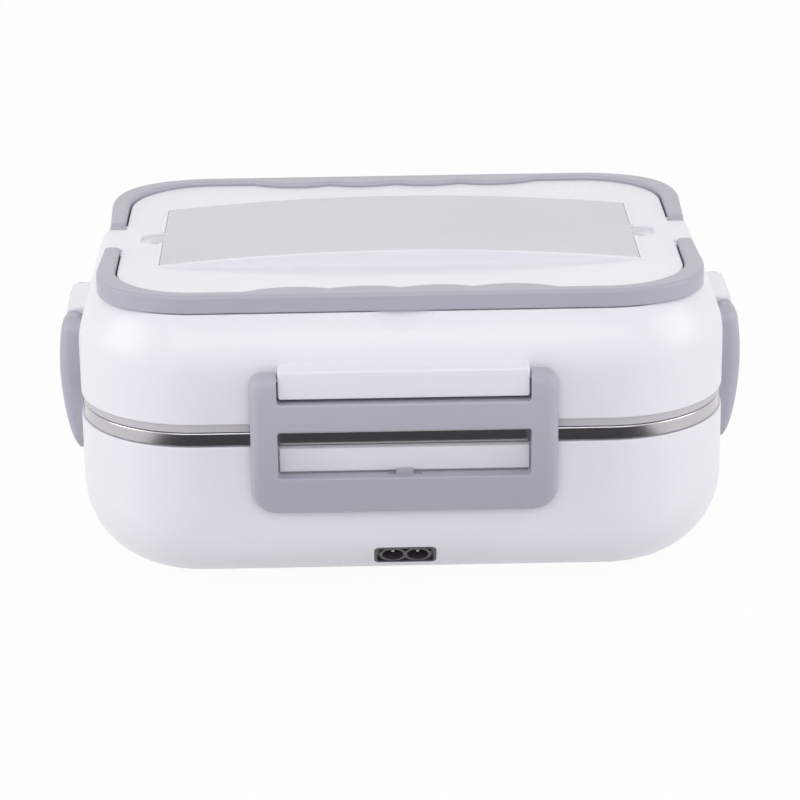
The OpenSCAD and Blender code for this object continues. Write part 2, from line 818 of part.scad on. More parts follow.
module latch_side_section() {
    foot_r = 0.8;
    translate([pin_out, pin_z]) circle(knuckle_r);
    translate([latch_in, latch_z0 + foot_r]) square([latch_out, pin_z - latch_z0 - foot_r]);
    translate([latch_in + foot_r, latch_z0]) square([latch_out, foot_r + past]);
    translate([latch_in + foot_r, latch_z0 + foot_r]) circle(foot_r);
}

module latch(w) {
    half = block_half(w) + block_gap;
    pocket_out = latch_out - pocket_wall;
    color(GREY) difference() {
        union() {
            intersection() {
                translate([0, bow_r - latch_out, bow_z]) rotate([0, 90, 0])
                    rotate_extrude($fn = 360) bow_section(w);
                along_side(w) latch_side_section();
                translate([0, past, (latch_z0 + pin_z + knuckle_r) / 2]) rotate([90, 0, 0])
                    linear_extrude(height = latch_out + 2 * past)
                        rounded(w, pin_z + knuckle_r - latch_z0, latch_corner);
            }
            // spring tongue that clicks over the catch
            translate([-tongue_w / 2, -hook_in - 1.6, window_z0 - past]) cube([tongue_w, 1.6, past + tongue_h]);
        }
        // gap for the hinge block
        translate([-half, -2 * latch_out, window_top + top_bar_h])
            cube([2 * half, 4 * latch_out, pin_z]);
        // window
        difference() {
            translate([-half, -2 * latch_out, window_z0]) cube([2 * half, 4 * latch_out, window_top - window_z0]);
            translate([-tongue_w / 2, -hook_in - 1.6, window_z0 - past]) cube([tongue_w, 1.6, past + tongue_h]);
        }
        // room for the catch behind the lower bar
        translate([-half, -hook_in, 0]) cube([2 * half, 2 * latch_out, window_z0]);
        // slots beside the tongue
        for (s = [-1, 1]) translate([s * (tongue_w + tongue_slot) / 2, 0, window_z0])
            cube([tongue_slot, 2 * (hook_in + 2.4), 2.4], center = true);
        // core of the upper bar, open to the back
        for (s = [-1, 1]) translate([s * half / 2 - (half - pocket_wall) / 2, -pocket_out + 1.2, window_top + pocket_wall])
            cube([half - pocket_wall, latch_out, top_bar_h - 2 * pocket_wall]);
        translate([0, -pin_out, pin_z]) rotate([0, 90, 0])
            cylinder(d = latch_pin_d + 2 * pin_gap, h = w - 2 * pocket_wall, center = true);
    }
}

module latch_pin(w) {
    color(STEEL) translate([0, -pin_out, pin_z]) rotate([0, 90, 0])
        cylinder(d = latch_pin_d, h = w - 2 * pocket_wall - 2 * pin_gap, center = true);
}

module front_latch() { on_side(0) latch(long_latch_w); }
module right_latch() { on_side(1) latch(short_latch_w); }
module back_latch() { on_side(2) latch(long_latch_w); }
module left_latch() { on_side(3) latch(short_latch_w); }
module front_latch_pin() { on_side(0) latch_pin(long_latch_w); }
module right_latch_pin() { on_side(1) latch_pin(short_latch_w); }
module back_latch_pin() { on_side(2) latch_pin(long_latch_w); }
module left_latch_pin() { on_side(3) latch_pin(short_latch_w); }

base_shell();
base_liner();
food_container();
heating_plate();
heating_element();
element_clamp();
clamp_screws();
thermostat();
thermal_fuse();
supply_leads();
inlet_housing();
inlet_pins();
base_screws();
feet();
lid_shell();
inner_lid();
lid_gasket();
cutlery_cover();
front_handle();
back_handle();
handle_pins();
front_latch();
right_latch();
back_latch();
left_latch();
front_latch_pin();
right_latch_pin();
back_latch_pin();
left_latch_pin();
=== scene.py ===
"""Electric lunch box: its finished shapes, finishes and studio."""

import json
import logging
import math
from contextlib import contextmanager
from dataclasses import dataclass
from enum import Enum
from typing import Iterator, Sequence

import bmesh
import bpy
from mathutils import Matrix, Vector


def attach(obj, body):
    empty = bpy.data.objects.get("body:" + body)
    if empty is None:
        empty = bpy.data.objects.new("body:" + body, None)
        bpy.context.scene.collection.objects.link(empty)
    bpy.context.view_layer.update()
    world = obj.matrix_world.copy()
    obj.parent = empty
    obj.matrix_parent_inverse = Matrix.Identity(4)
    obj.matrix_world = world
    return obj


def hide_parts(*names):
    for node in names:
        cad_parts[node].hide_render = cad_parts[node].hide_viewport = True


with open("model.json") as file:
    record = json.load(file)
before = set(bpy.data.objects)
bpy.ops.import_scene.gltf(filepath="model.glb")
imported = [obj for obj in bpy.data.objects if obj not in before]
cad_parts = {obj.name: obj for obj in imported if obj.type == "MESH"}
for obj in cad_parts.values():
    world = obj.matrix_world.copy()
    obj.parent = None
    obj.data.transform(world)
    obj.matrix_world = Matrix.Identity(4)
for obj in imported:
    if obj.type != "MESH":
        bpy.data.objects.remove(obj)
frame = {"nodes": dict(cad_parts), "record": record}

log = logging.getLogger("lunch_box")

MM = 0.001
MERGE = 0.002 * MM
Pair = tuple[float, float]
Triple = tuple[float, float, float]


def linear(value: int) -> float:
    """One display channel of 0 to 255 as a linear share."""
    share = value / 255
    return share / 12.92 if share <= 0.04045 else ((share + 0.055) / 1.055) ** 2.4


def srgb(red: int, green: int, blue: int) -> Triple:
    """The linear colour of a display colour given as 0 to 255."""
    return (linear(red), linear(green), linear(blue))


# ---------------------------------------------------------------- node trees


class Graph:
    """A node tree in the making."""

    def __init__(self, tree: bpy.types.NodeTree) -> None:
        """Takes the tree to add to."""
        self.tree = tree

    def feed(self, socket: bpy.types.NodeSocket, source: object) -> None:
        """Links an input to a source, or sets its value.

        Args:
            socket: the input.
            source: another node's output, or a plain value.
        """
        if isinstance(source, bpy.types.NodeSocket):
            self.tree.links.new(source, socket)
        else:
            socket.default_value = source

    def node(self, kind: str, *values: object, **named: object) -> bpy.types.Node:
        """Adds a node.

        Args:
            kind: its type.
            values: values or sources of its inputs, in order.
            named: its own properties in lower case, and inputs by name, with _ for a space.

        Returns:
            The node.
        """
        made = self.tree.nodes.new(kind)
        inputs: dict[int | str, object] = dict(enumerate(values))
        for title, value in named.items():
            if title.islower():
                setattr(made, title, value)
            else:
                inputs[title.replace("_", " ")] = value
        for title, value in inputs.items():
            self.feed(made.inputs[title], value)
        return made

    def combined(self, operation: str, *values: object) -> bpy.types.NodeSocket:
        """The result of a calculation on values or sources."""
        return self.node("ShaderNodeMath", *values, operation=operation).outputs[0]


# ---------------------------------------------------------------- finishes


class Grain(Enum):
    """How a surface's fine relief is stretched along the three axes."""

    EVEN = (1.0, 1.0, 1.0)
    BRUSHED = (0.06, 0.06, 4.0)


@dataclass(frozen=True)
class Finish:
    """One finish: a colour with slow variation, a roughness that wanders, and a fine relief.

    Attributes:
        name: name of the material.
        colour: main colour, linear.
        tint: second colour that the first drifts to, linear.
        rough: lowest and highest roughness.
        grain: the way the relief runs.
        grain_scale: relief features per metre, roughly.
        relief: depth of the relief in metres.
        metallic: 1 for bare metal.
        specular: strength of the surface's own gloss, 0.5 as for most plastics.
        coat: strength of a clear gloss over the colour.
        sheen: strength of the soft edge glow of rubber.
    """

    name: str
    colour: Triple
    tint: Triple
    rough: Pair = (0.3, 0.4)
    grain: Grain = Grain.EVEN
    grain_scale: float = 900.0
    relief: float = 0.00002
    metallic: float = 0.0
    specular: float = 0.5
    coat: float = 0.0
    sheen: float = 0.0

    def material(self) -> bpy.types.Material:
        """Builds the node material once and returns it.

        Returns:
            The material, taken from the file if it was made before.
        """
        made = bpy.data.materials.get(self.name)
        if made:
            return made
        mat = bpy.data.materials.new(self.name)
        mat.use_nodes = True
        graph = Graph(mat.node_tree)
        place = graph.node("ShaderNodeTexCoord").outputs["Object"]
        along = graph.node("ShaderNodeMapping", Vector=place, Scale=self.grain.value).outputs[0]
        noise = "ShaderNodeTexNoise"
        cloud = graph.node(noise, Vector=place, Scale=22.0, Detail=3.0).outputs["Fac"]
        fine = graph.node(noise, Vector=along, Scale=self.grain_scale, Detail=2.0).outputs["Fac"]
        main, second = (*self.colour, 1.0), (*self.tint, 1.0)
        drift = graph.node("ShaderNodeMix", data_type="RGBA", Factor=cloud, A=main, B=second)
        wander = graph.combined("MULTIPLY_ADD", cloud, 0.5, graph.combined("MULTIPLY", fine, 0.5))
        low, high = self.rough
        gloss = graph.node("ShaderNodeMapRange", Value=wander, To_Min=low, To_Max=high)
        bump = graph.node("ShaderNodeBump", Strength=0.6, Distance=self.relief, Height=fine)
        shader = mat.node_tree.nodes["Principled BSDF"]
        sources = {
            "Base Color": drift.outputs["Result"], "Roughness": gloss.outputs["Result"],
            "Normal": bump.outputs["Normal"], "Metallic": self.metallic,
            "Specular IOR Level": self.specular, "Coat Weight": self.coat,
            "Coat Roughness": 0.12, "Sheen Weight": self.sheen,
        }
        for title, source in sources.items():
            graph.feed(shader.inputs[title], source)
        return mat


WHITE_SHELL = Finish(
    "white_shell_gloss", srgb(240, 239, 244), srgb(235, 234, 240), (0.24, 0.34),
    specular=0.38, coat=0.1,
)
GREY_PLASTIC = Finish(
    "grey_plastic_satin", srgb(184, 183, 193), srgb(178, 177, 188), (0.32, 0.42), specular=0.32
)
COVER = Finish(
    "cover_frosted", srgb(220, 219, 224), srgb(211, 210, 216), (0.4, 0.52), grain_scale=1500.0
)
STRIP = Finish("strip_satin", srgb(203, 199, 204), srgb(195, 191, 197))
SILICONE = Finish(
    "seal_silicone", srgb(226, 225, 230), srgb(218, 217, 224), (0.5, 0.62), sheen=0.2
)
STEEL = Finish(
    "container_steel", (0.6, 0.58, 0.6), (0.52, 0.5, 0.52), (0.12, 0.24), Grain.BRUSHED,
    relief=0.000006, metallic=1.0,
)
HARDWARE = Finish(
    "pin_steel", (0.5, 0.5, 0.52), (0.42, 0.42, 0.44), (0.25, 0.4), Grain.BRUSHED,
    grain_scale=1200.0, relief=0.000006, metallic=1.0,
)
ALUMINIUM = Finish(
    "plate_cast", (0.66, 0.67, 0.69), (0.55, 0.56, 0.58), (0.4, 0.55),
    grain_scale=1400.0, relief=0.00004, metallic=1.0,
)
DARK = Finish("inlet_plastic", srgb(78, 72, 80), srgb(60, 55, 62), (0.3, 0.42))
LINER = Finish("liner_plastic", srgb(217, 217, 222), srgb(208, 208, 214), (0.45, 0.55))
ELEMENT = Finish(
    "element_mica", srgb(150, 104, 62), srgb(116, 78, 46), (0.6, 0.75),
    grain_scale=800.0, relief=0.00005,
)
CERAMIC = Finish("fuse_ceramic", srgb(236, 230, 212), srgb(222, 214, 194), (0.35, 0.5))
RED_SLEEVE = Finish("lead_red", srgb(190, 58, 46), srgb(168, 48, 40), (0.45, 0.6), sheen=0.2)
BLUE_SLEEVE = Finish("lead_blue", srgb(58, 104, 178), srgb(48, 90, 160), (0.45, 0.6), sheen=0.2)
RUBBER = Finish(
    "foot_rubber", srgb(92, 92, 98), srgb(74, 74, 80), (0.7, 0.85),
    grain_scale=1600.0, relief=0.00004, sheen=0.3,
)

CAD_FINISHES: dict[str, Finish] = {
    "white_shell": WHITE_SHELL,
    "liner": LINER,
    "steel": STEEL,
    "heater_metal": ALUMINIUM,
    "element": ELEMENT,
    "hardware": HARDWARE,
    "dark_plastic": DARK,
    "fuse_body": CERAMIC,
    "lead_sleeve": RED_SLEEVE,
    "contact": HARDWARE,
    "foot_rubber": RUBBER,
    "strip_plastic": STRIP,
    "silicone": SILICONE,
    "cover_plastic": COVER,
    "grey_plastic": GREY_PLASTIC,
}


def dress_cad_nodes() -> None:
    """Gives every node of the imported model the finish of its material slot."""
    slots = {row["node"]: row["material_slot"] for row in frame["record"]["subparts"]}
    for name, node in frame["nodes"].items():
        node.data.materials.clear()
        node.data.materials.append(CAD_FINISHES[slots[name]].material())
    leads = frame["nodes"]["supply_leads"].data
    leads.materials.append(BLUE_SLEEVE.material())
    for face in leads.polygons:
        face.material_index = 1 if face.center.x < 0 else 0


# ---------------------------------------------------------------- paths and outlines


def span_points(first: float, last: float, step: float) -> list[float]:
    """Even places from first to last, about a step apart."""
    count = max(1, math.ceil(abs(last - first) / step))
    return [first + (last - first) * k / count for k in range(count + 1)]


def arc(centre: Pair, radius: float, first: float, last: float, step: float) -> list[Pair]:
    """Points of a circle from one angle to another, about a step apart, in radians."""
    angles = span_points(first, last, step)
    return [(centre[0] + radius * math.cos(a), centre[1] + radius * math.sin(a)) for a in angles]


def circle(centre: Pair, radius: float, count: int) -> list[Pair]:
    """Points of a whole circle."""
    return arc(centre, radius, 0, math.tau, math.tau / (count - 0.5))[:-1]


def thread(first: Pair, last: Pair, step: float) -> list[Pair]:
    """Points from first towards last, about a step apart, without the last."""
    count = max(1, math.ceil(math.dist(first, last) / step))
    return [tuple(a + (b - a) * k / count for a, b in zip(first, last)) for k in range(count)]


def rounding(radius: float, steps: int) -> list[Pair]:
    """Points of a rounding: distance from its start, and distance still to its end."""
    angles = [math.pi / 2 * k / steps for k in range(steps + 1)] if radius else [0.0]
    return [(radius * (1 - math.cos(angle)), radius * (1 - math.sin(angle))) for angle in angles]


def end_insets(half: float, radius: float) -> list[Pair]:
    """Stations from -half to half, each with the inset that rounds the two ends."""
    end = [(half - past, inset) for past, inset in rounding(radius, 4)]
    return [(-x, inset) for x, inset in end] + end[::-1]


def smooth_max(a: float, b: float, blend: float) -> float:
    """The larger of two values, rounded off where they meet."""
    share = max(0.0, blend - abs(a - b)) / blend
    return max(a, b) + share * share * blend / 4


def rounded_path(corners: Sequence[Triple], closed: bool = False, steps: int = 0) -> list[Pair]:
    """A path of straight stretches with rounded corners.

    Args:
        corners: (across, up, radius) of each corner; 0 keeps the corner sharp.
        closed: whether the last corner joins the first.
        steps: pieces of each rounding, or 0 for as many as its size asks for.

    Returns:
        The points along the path.
    """
    points: list[Pair] = []
    for i, (across, up, radius) in enumerate(corners):
        if radius <= 0 or (not closed and i in (0, len(corners) - 1)):
            points.append((across, up))
            continue
        here = Vector((across, up))
        before = (Vector(corners[i - 1][:2]) - here).normalized()
        after = (Vector(corners[(i + 1) % len(corners)][:2]) - here).normalized()
        angle = before.angle(after)
        centre = here + (before + after).normalized() * (radius / math.sin(angle / 2))
        start = here + before * (radius / math.tan(angle / 2)) - centre
        end = here + after * (radius / math.tan(angle / 2)) - centre
        turn = math.pi - angle
        count = steps or max(3, math.ceil(turn * (1.5 * math.sqrt(radius) + 1)))
        for k in range(count + 1):
            share = k / count
            near, far = math.sin((1 - share) * turn), math.sin(share * turn)
            spot = centre + (start * near + end * far) / math.sin(turn)
            points.append((spot.x, spot.y))
    return points


def rounded_box(left: float, low: float, right: float, high: float, radius: float) -> list[Pair]:
    """Outline of a rectangle with rounded corners, anticlockwise from the lower left."""
    corners = [(left, low), (right, low), (right, high), (left, high)]
    return rounded_path([(*corner, radius) for corner in corners], closed=True)


def grown(points: Sequence[Pair], by: float) -> list[Pair]:
    """An anticlockwise outline moved outwards.

    Args:
        points: the outline.
        by: distance; below 0 moves it inwards.

    Returns:
        As many points, each moved along the mean of its two edges' normals.
    """
    moved = []
    for i, (x, y) in enumerate(points):
        before, after = points[i - 1], points[(i + 1) % len(points)]
        a = Vector((y - before[1], before[0] - x)).normalized()
        b = Vector((after[1] - y, x - after[0])).normalized()
        normal = (a + b).normalized()
        stretch = by / max(0.5, normal.dot(a))
        moved.append((x + normal.x * stretch, y + normal.y * stretch))
    return moved


# ---------------------------------------------------------------- mesh code


@contextmanager
def edited(mesh: bpy.types.Mesh) -> Iterator[bmesh.types.BMesh]:
    """Opens a mesh for changes and writes it back.

    Args:
        mesh: the mesh.

    Yields:
        Its open form.
    """
    bm = bmesh.new()
    bm.from_mesh(mesh)
    yield bm
    bm.to_mesh(mesh)
    bm.free()


def new_object(name: str, data: bpy.types.ID) -> bpy.types.Object:
    """Links a new object.

    Args:
        name: name of the object.
        data: the mesh, lamp or camera that it holds.

    Returns:
        The object.
    """
    piece = bpy.data.objects.new(name, data)
    bpy.context.scene.collection.objects.link(piece)
    return piece


def from_points(
    name: str, points: Sequence[Triple], edges: Sequence[Sequence[int]] = (),
    faces: Sequence[Sequence[int]] = (),
) -> bpy.types.Object:
    """Makes an object from points.

    Args:
        name: name of the object.
        points: the points in metres.
        edges: pairs of points, by number.
        faces: the points of each face, by number.

    Returns:
        The object.
    """
    mesh = bpy.data.meshes.new(name)
    mesh.from_pydata(points, edges, faces)
    return new_object(name, mesh)


def lofted(name: str, rings: Sequence[Sequence[Triple]], looped: bool = False) -> bpy.types.Object:
    """A closed solid between rings of equal count.

    Args:
        name: name of the object.
        rings: closed rings of points in millimetres.
        looped: whether the last ring joins the first, as in a hoop; otherwise both ends are capped.

    Returns:
        The new object, in metres.
    """
    count = len(rings[0])
    points = [tuple(c * MM for c in point) for ring in rings for point in ring]
    faces: list[list[int]] = []
    for i in range(len(rings) if looped else len(rings) - 1):
        here, there = i * count, (i + 1) % len(rings) * count
        for k in range(count):
            nxt = (k + 1) % count
            faces.append([here + k, here + nxt, there + nxt, there + k])
    if not looped:
        faces.append(list(range(count))[::-1])
        faces.append([(len(rings) - 1) * count + k for k in range(count)])
    piece = from_points(name, points, faces=faces)
    recalculate(piece)
    return piece


def stacked(name: str, outline: Sequence[Pair], levels: Sequence[Pair]) -> bpy.types.Object:
    """A solid of one outline that is grown or drawn in from level to level.

    Args:
        name: name of the object.
        outline: anticlockwise outline in millimetres.
        levels: (height, growth) of each level.

    Returns:
        The new object.
    """
    return lofted(name, [[(x, y, height) for x, y in grown(outline, by)] for height, by in levels])


def edge_levels(
    low: float, high: float, low_round: float, high_round: float, flare: bool = False
) -> list[Pair]:
    """Levels of a slab whose two rims are rounded.

    Args:
        low: lower height.
        high: upper height.
        low_round: rounding of the lower rim.
        high_round: rounding of the upper rim.
        flare: whether the upper rim flares out, as a cutter's does.

    Returns:
        (height, growth) pairs, lowest first.
    """
    levels = [(low + past, -left) for past, left in rounding(low_round, 5)]
    for past, left in rounding(high_round, 5):
        levels.append((high - left, past if flare else -past))
    if flare:
        levels.append((high + 2, high_round))
    return levels


def recalculate(piece: bpy.types.Object) -> None:
    """Merges doubles and turns every face outwards.

    Args:
        piece: the piece.
    """
    with edited(piece.data) as bm:
        bmesh.ops.remove_doubles(bm, verts=bm.verts, dist=MERGE)
        bmesh.ops.recalc_face_normals(bm, faces=bm.faces)


def settle(piece: bpy.types.Object) -> None:
    """Turns the piece's modifiers into its mesh and removes them.

    Args:
        piece: the piece.
    """
    graph = bpy.context.evaluated_depsgraph_get()
    mesh = bpy.data.meshes.new_from_object(piece.evaluated_get(graph))
    piece.modifiers.clear()
    piece.data = mesh


class Join(Enum):
    """How one solid changes another."""

    ADD = "UNION"
    CUT = "DIFFERENCE"
    KEEP = "INTERSECT"


def combine(piece: bpy.types.Object, join: Join, *others: bpy.types.Object) -> bpy.types.Object:
    """Adds, cuts or keeps other solids, and deletes them.

    Args:
        piece: the solid that changes.
        join: how.
        others: the other solids.

    Returns:
        The piece.
    """
    for other in others:
        step = piece.modifiers.new("join", "BOOLEAN")
        step.operation = join.value
        step.solver = "EXACT"
        step.object = other
        settle(piece)
        bpy.data.objects.remove(other)
    return piece


def soft_block(name: str, first: Triple, last: Triple, radius: float) -> bpy.types.Object:
    """A block with rounded edges.

    Args:
        name: name of the object.
        first: one corner in millimetres.
        last: the opposite corner.
        radius: rounding of its edges.

    Returns:
        The block.
    """
    (left, right), (near, far), (low, high) = (sorted(ends) for ends in zip(first, last))
    outline = rounded_box(left, near, right, far, radius * 1.2)
    return stacked(name, outline, edge_levels(low, high, radius, radius))


def rounded_slab(
    name: str, width: float, depth: float, corner: float, low: float, high: float
) -> bpy.types.Object:
    """A slab with round upright corners, centred on the box."""
    outline = rounded_box(-width / 2, -depth / 2, width / 2, depth / 2, corner)
    return stacked(name, outline, [(low, 0), (high, 0)])


def dress(piece: bpy.types.Object, finish: Finish, sharp: float = 38.0) -> bpy.types.Object:
    """Gives a finished piece smooth shading, flat faces that stay flat, and its finish.

    Args:
        piece: the piece.
        finish: its finish.
        sharp: edges steeper than this angle in degrees stay crisp.

    Returns:
        The piece.
    """
    recalculate(piece)
    mesh = piece.data
    mesh.materials.clear()
    mesh.materials.append(finish.material())
    for face in mesh.polygons:
        face.material_index = 0
    mesh.shade_smooth()
    mesh.set_sharp_from_angle(angle=math.radians(sharp))
    even = piece.modifiers.new("even", "WEIGHTED_NORMAL")
    even.keep_sharp = True
    settle(piece)
    return piece


class Tree(Graph):
    """A Geometry Nodes tree in the making, with named inputs."""

    def __init__(self, name: str, inputs: dict[str, str]) -> None:
        """Starts the tree.

        Args:
            name: name of the tree.
            inputs: name and socket type of each input besides the mesh.
        """
        super().__init__(bpy.data.node_groups.new(name, "GeometryNodeTree"))
        sockets = {"Section": "NodeSocketGeometry", **inputs, "Finish": "NodeSocketMaterial"}
        for title, kind in sockets.items():
            self.tree.interface.new_socket(title, in_out="INPUT", socket_type=kind)
        self.tree.interface.new_socket("Piece", in_out="OUTPUT", socket_type="NodeSocketGeometry")
        self.inputs = self.node("NodeGroupInput").outputs

    def close(self, source: bpy.types.NodeSocket) -> None:
        """Ends the tree in real geometry with its finish.

        Args:
            source: the geometry.
        """
        real = self.node("GeometryNodeRealizeInstances", source).outputs["Geometry"]
        coat = self.node("GeometryNodeSetMaterial", Geometry=real, Material=self.inputs["Finish"])
        self.node("NodeGroupOutput", coat.outputs["Geometry"])

    def run(self, piece: bpy.types.Object, **values: object) -> bpy.types.Object:
        """Runs the tree on an object's mesh and keeps the result as a plain mesh.

        Args:
            piece: the object with the starting mesh.
            values: each input, with _ for a space.

        Returns:
            The object.
        """
        step = piece.modifiers.new("tree", "NODES")
        step.node_group = self.tree
        for item in self.tree.interface.items_tree:
            title = item.name.replace(" ", "_").lower()
            if item.in_out == "INPUT" and title in values:
                step[item.identifier] = values[title]
        settle(piece)
        return piece


class RoundSweep(Tree):
    """Sweeps a section round a rounded rectangle, for walls that have the body's outline."""

    def __init__(self) -> None:
        """Builds the tree."""
        floats = dict.fromkeys(("Width", "Depth", "Corner"), "NodeSocketFloat")
        super().__init__("round_sweep", {**floats, "Steps": "NodeSocketInt"})
        given = self.inputs
        plan = self.node(
            "GeometryNodeCurvePrimitiveQuadrilateral", Width=given["Width"], Height=given["Depth"]
        )
        bend = self.node(
            "GeometryNodeFilletCurve", mode="POLY", Curve=plan.outputs["Curve"],
            Count=given["Steps"], Radius=given["Corner"],
        )
        upright = self.node("GeometryNodeSetCurveNormal", mode="Z_UP", Curve=bend.outputs["Curve"])
        section = self.node("GeometryNodeMeshToCurve", Mesh=given["Section"]).outputs["Curve"]
        stand = self.node("GeometryNodeTransform", Geometry=section, Rotation=(math.pi / 2, 0, 0))
        sweep = self.node(
            "GeometryNodeCurveToMesh", Curve=upright.outputs["Curve"],
            Profile_Curve=stand.outputs["Geometry"],
        )
        self.close(sweep.outputs["Mesh"])

    def wall(self, name: str, section: Sequence[Pair], finish: Finish) -> bpy.types.Object:
        """A closed wall round the body's outline.

        Args:
            name: name of the object.
            section: open path of (distance out from the body's outline, height) in millimetres,
                whose two ends are capped flat.
            finish: its finish.

        Returns:
            The new object.
        """
        points = [(out * MM, 0.0, up * MM) for out, up in section]
        piece = from_points(name, points, [(i, i + 1) for i in range(len(points) - 1)])
        self.run(
            piece, width=BODY.width * MM, depth=BODY.depth * MM, corner=BODY.corner * MM,
            steps=18, finish=finish.material(),
        )
        with edited(piece.data) as bm:
            bmesh.ops.remove_doubles(bm, verts=bm.verts, dist=MERGE)
            bmesh.ops.holes_fill(bm, edges=[e for e in bm.edges if e.is_boundary], sides=0)
        recalculate(piece)
        return piece


class Scatter(Tree):
    """Puts a copy of one small part at each point of a mesh."""

    def __init__(self) -> None:
        """Builds the tree."""
        super().__init__("scatter", {"Part": "NodeSocketObject"})
        info = self.node(
            "GeometryNodeObjectInfo", transform_space="ORIGINAL", Object=self.inputs["Part"]
        )
        copies = self.node(
            "GeometryNodeInstanceOnPoints", Points=self.inputs["Section"],
            Instance=info.outputs["Geometry"],
        )
        self.close(copies.outputs["Instances"])

    def place(
        self, name: str, part: bpy.types.Object, spots: Sequence[Triple], finish: Finish
    ) -> bpy.types.Object:
        """Copies a part to spots given in millimetres, and deletes the part.

        Args:
            name: name of the new object.
            part: the part, round the origin.
            spots: where the copies go.
            finish: their finish.

        Returns:
            The new object.
        """
        points = from_points(name, [tuple(c * MM for c in spot) for spot in spots])
        piece = self.run(points, part=part, finish=finish.material())
        bpy.data.objects.remove(part)
        return piece


# ---------------------------------------------------------------- sizes shared by the pieces


@dataclass(frozen=True)
class Body:
    """Outline and heights of the box, in millimetres."""

    width: float = 230.0
    depth: float = 170.0
    corner: float = 43.5
    wall: float = 2.5
    underside: float = 1.5
    base_top: float = 57.2
    rim_top: float = 62.3
    lid_edge: float = 65.4
    shoulder: float = 83.3
    shoulder_radius: float = 27.53
    ledge: float = 103.0
    deck: float = 108.2
    ring_inset: float = 8.3
    ring_width: float = 5.6
    ring_gap: float = 0.6
    hump_pitch: float = 25.1
    hump_height: float = 4.8
    hump_radius: float = 31.6
    pivot_y: float = 16.4
    pivot_z: float = 106.55
    crown: float = 112.9
    arch_radius: float = 872.2
    pin_z: float = 82.5
    pin_out: float = 3.6
    arm: float = 9.4
    long_latch: float = 106.4
    short_latch: float = 50.0
    hump_end: float = 58.0

    @property
    def ring_depth(self) -> float:
        """Outer depth of the handle ring."""
        return self.depth - 2 * self.ring_inset

    @property
    def ring_span(self) -> float:
        """Outer width of the handle ring."""
        return self.width - 2 * self.ring_inset

    def latch_width(self, side: int) -> float:
        """Overall width of a side's latch."""
        return self.long_latch if side % 2 == 0 else self.short_latch

    def latch_room(self, side: int, gap: float) -> float:
        """Half the width between the arms of a side's latch, less a gap."""
        return self.latch_width(side) / 2 - self.arm - gap

    def arch(self, x: float, drop: float = 0.0) -> float:
        """Height of the cutlery cover's arch at x, or of a surface that lies a drop under it."""
        return self.crown - self.arch_radius + math.sqrt((self.arch_radius - drop) ** 2 - x * x)

    def hump_places(self) -> list[float]:
        """Places along a handle's long side, from right to left."""
        return span_points(self.hump_end, -self.hump_end, 0.9)

    def bulge(self, x: float, extra: float = 0.0) -> float:
        """How far the finger humps stand in from the ring's inner face at x.

        Args:
            x: place along the handle.
            extra: clearance round the humps.

        Returns:
            The distance, never below 0.
        """
        radius = self.hump_radius + extra
        best = 0.0
        for i in range(4):
            off = x - (i - 1.5) * self.hump_pitch
            if abs(off) < radius:
                reach = self.hump_height + extra - radius + math.sqrt(radius**2 - off**2)
                best = smooth_max(best, reach - extra, 0.5)
        return best


BODY = Body()


def side_turn(side: int) -> Matrix:
    """The turn that takes the front, side 0, to side 1, 2 or 3, anticlockwise from above."""
    reach = (BODY.depth if side % 2 == 0 else BODY.width) / 2 * MM
    return Matrix.Rotation(math.pi / 2 * side, 4, "Z") @ Matrix.Translation((0, -reach, 0))


def on_side(name: str, rings: Sequence[Sequence[Triple]], side: int) -> bpy.types.Object:
    """A solid between rings that is turned from the front to its side.

    Args:
        name: name of the object.
        rings: its rings at the front, in millimetres.
        side: 0 front, 1 right, 2 back, 3 left.

    Returns:
        The solid.
    """
    piece = lofted(name, rings)
    piece.data.transform(side_turn(side))
    return piece


def ride_as(piece: bpy.types.Object, body: str, slot: str, *nodes: str) -> None:
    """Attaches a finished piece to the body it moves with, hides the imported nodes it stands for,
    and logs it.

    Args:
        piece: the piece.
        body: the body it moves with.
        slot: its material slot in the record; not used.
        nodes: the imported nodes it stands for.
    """
    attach(piece, body)
    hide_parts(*nodes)
    log.info("%s: %d faces on %s", piece.name, len(piece.data.polygons), body)


# ---------------------------------------------------------------- base


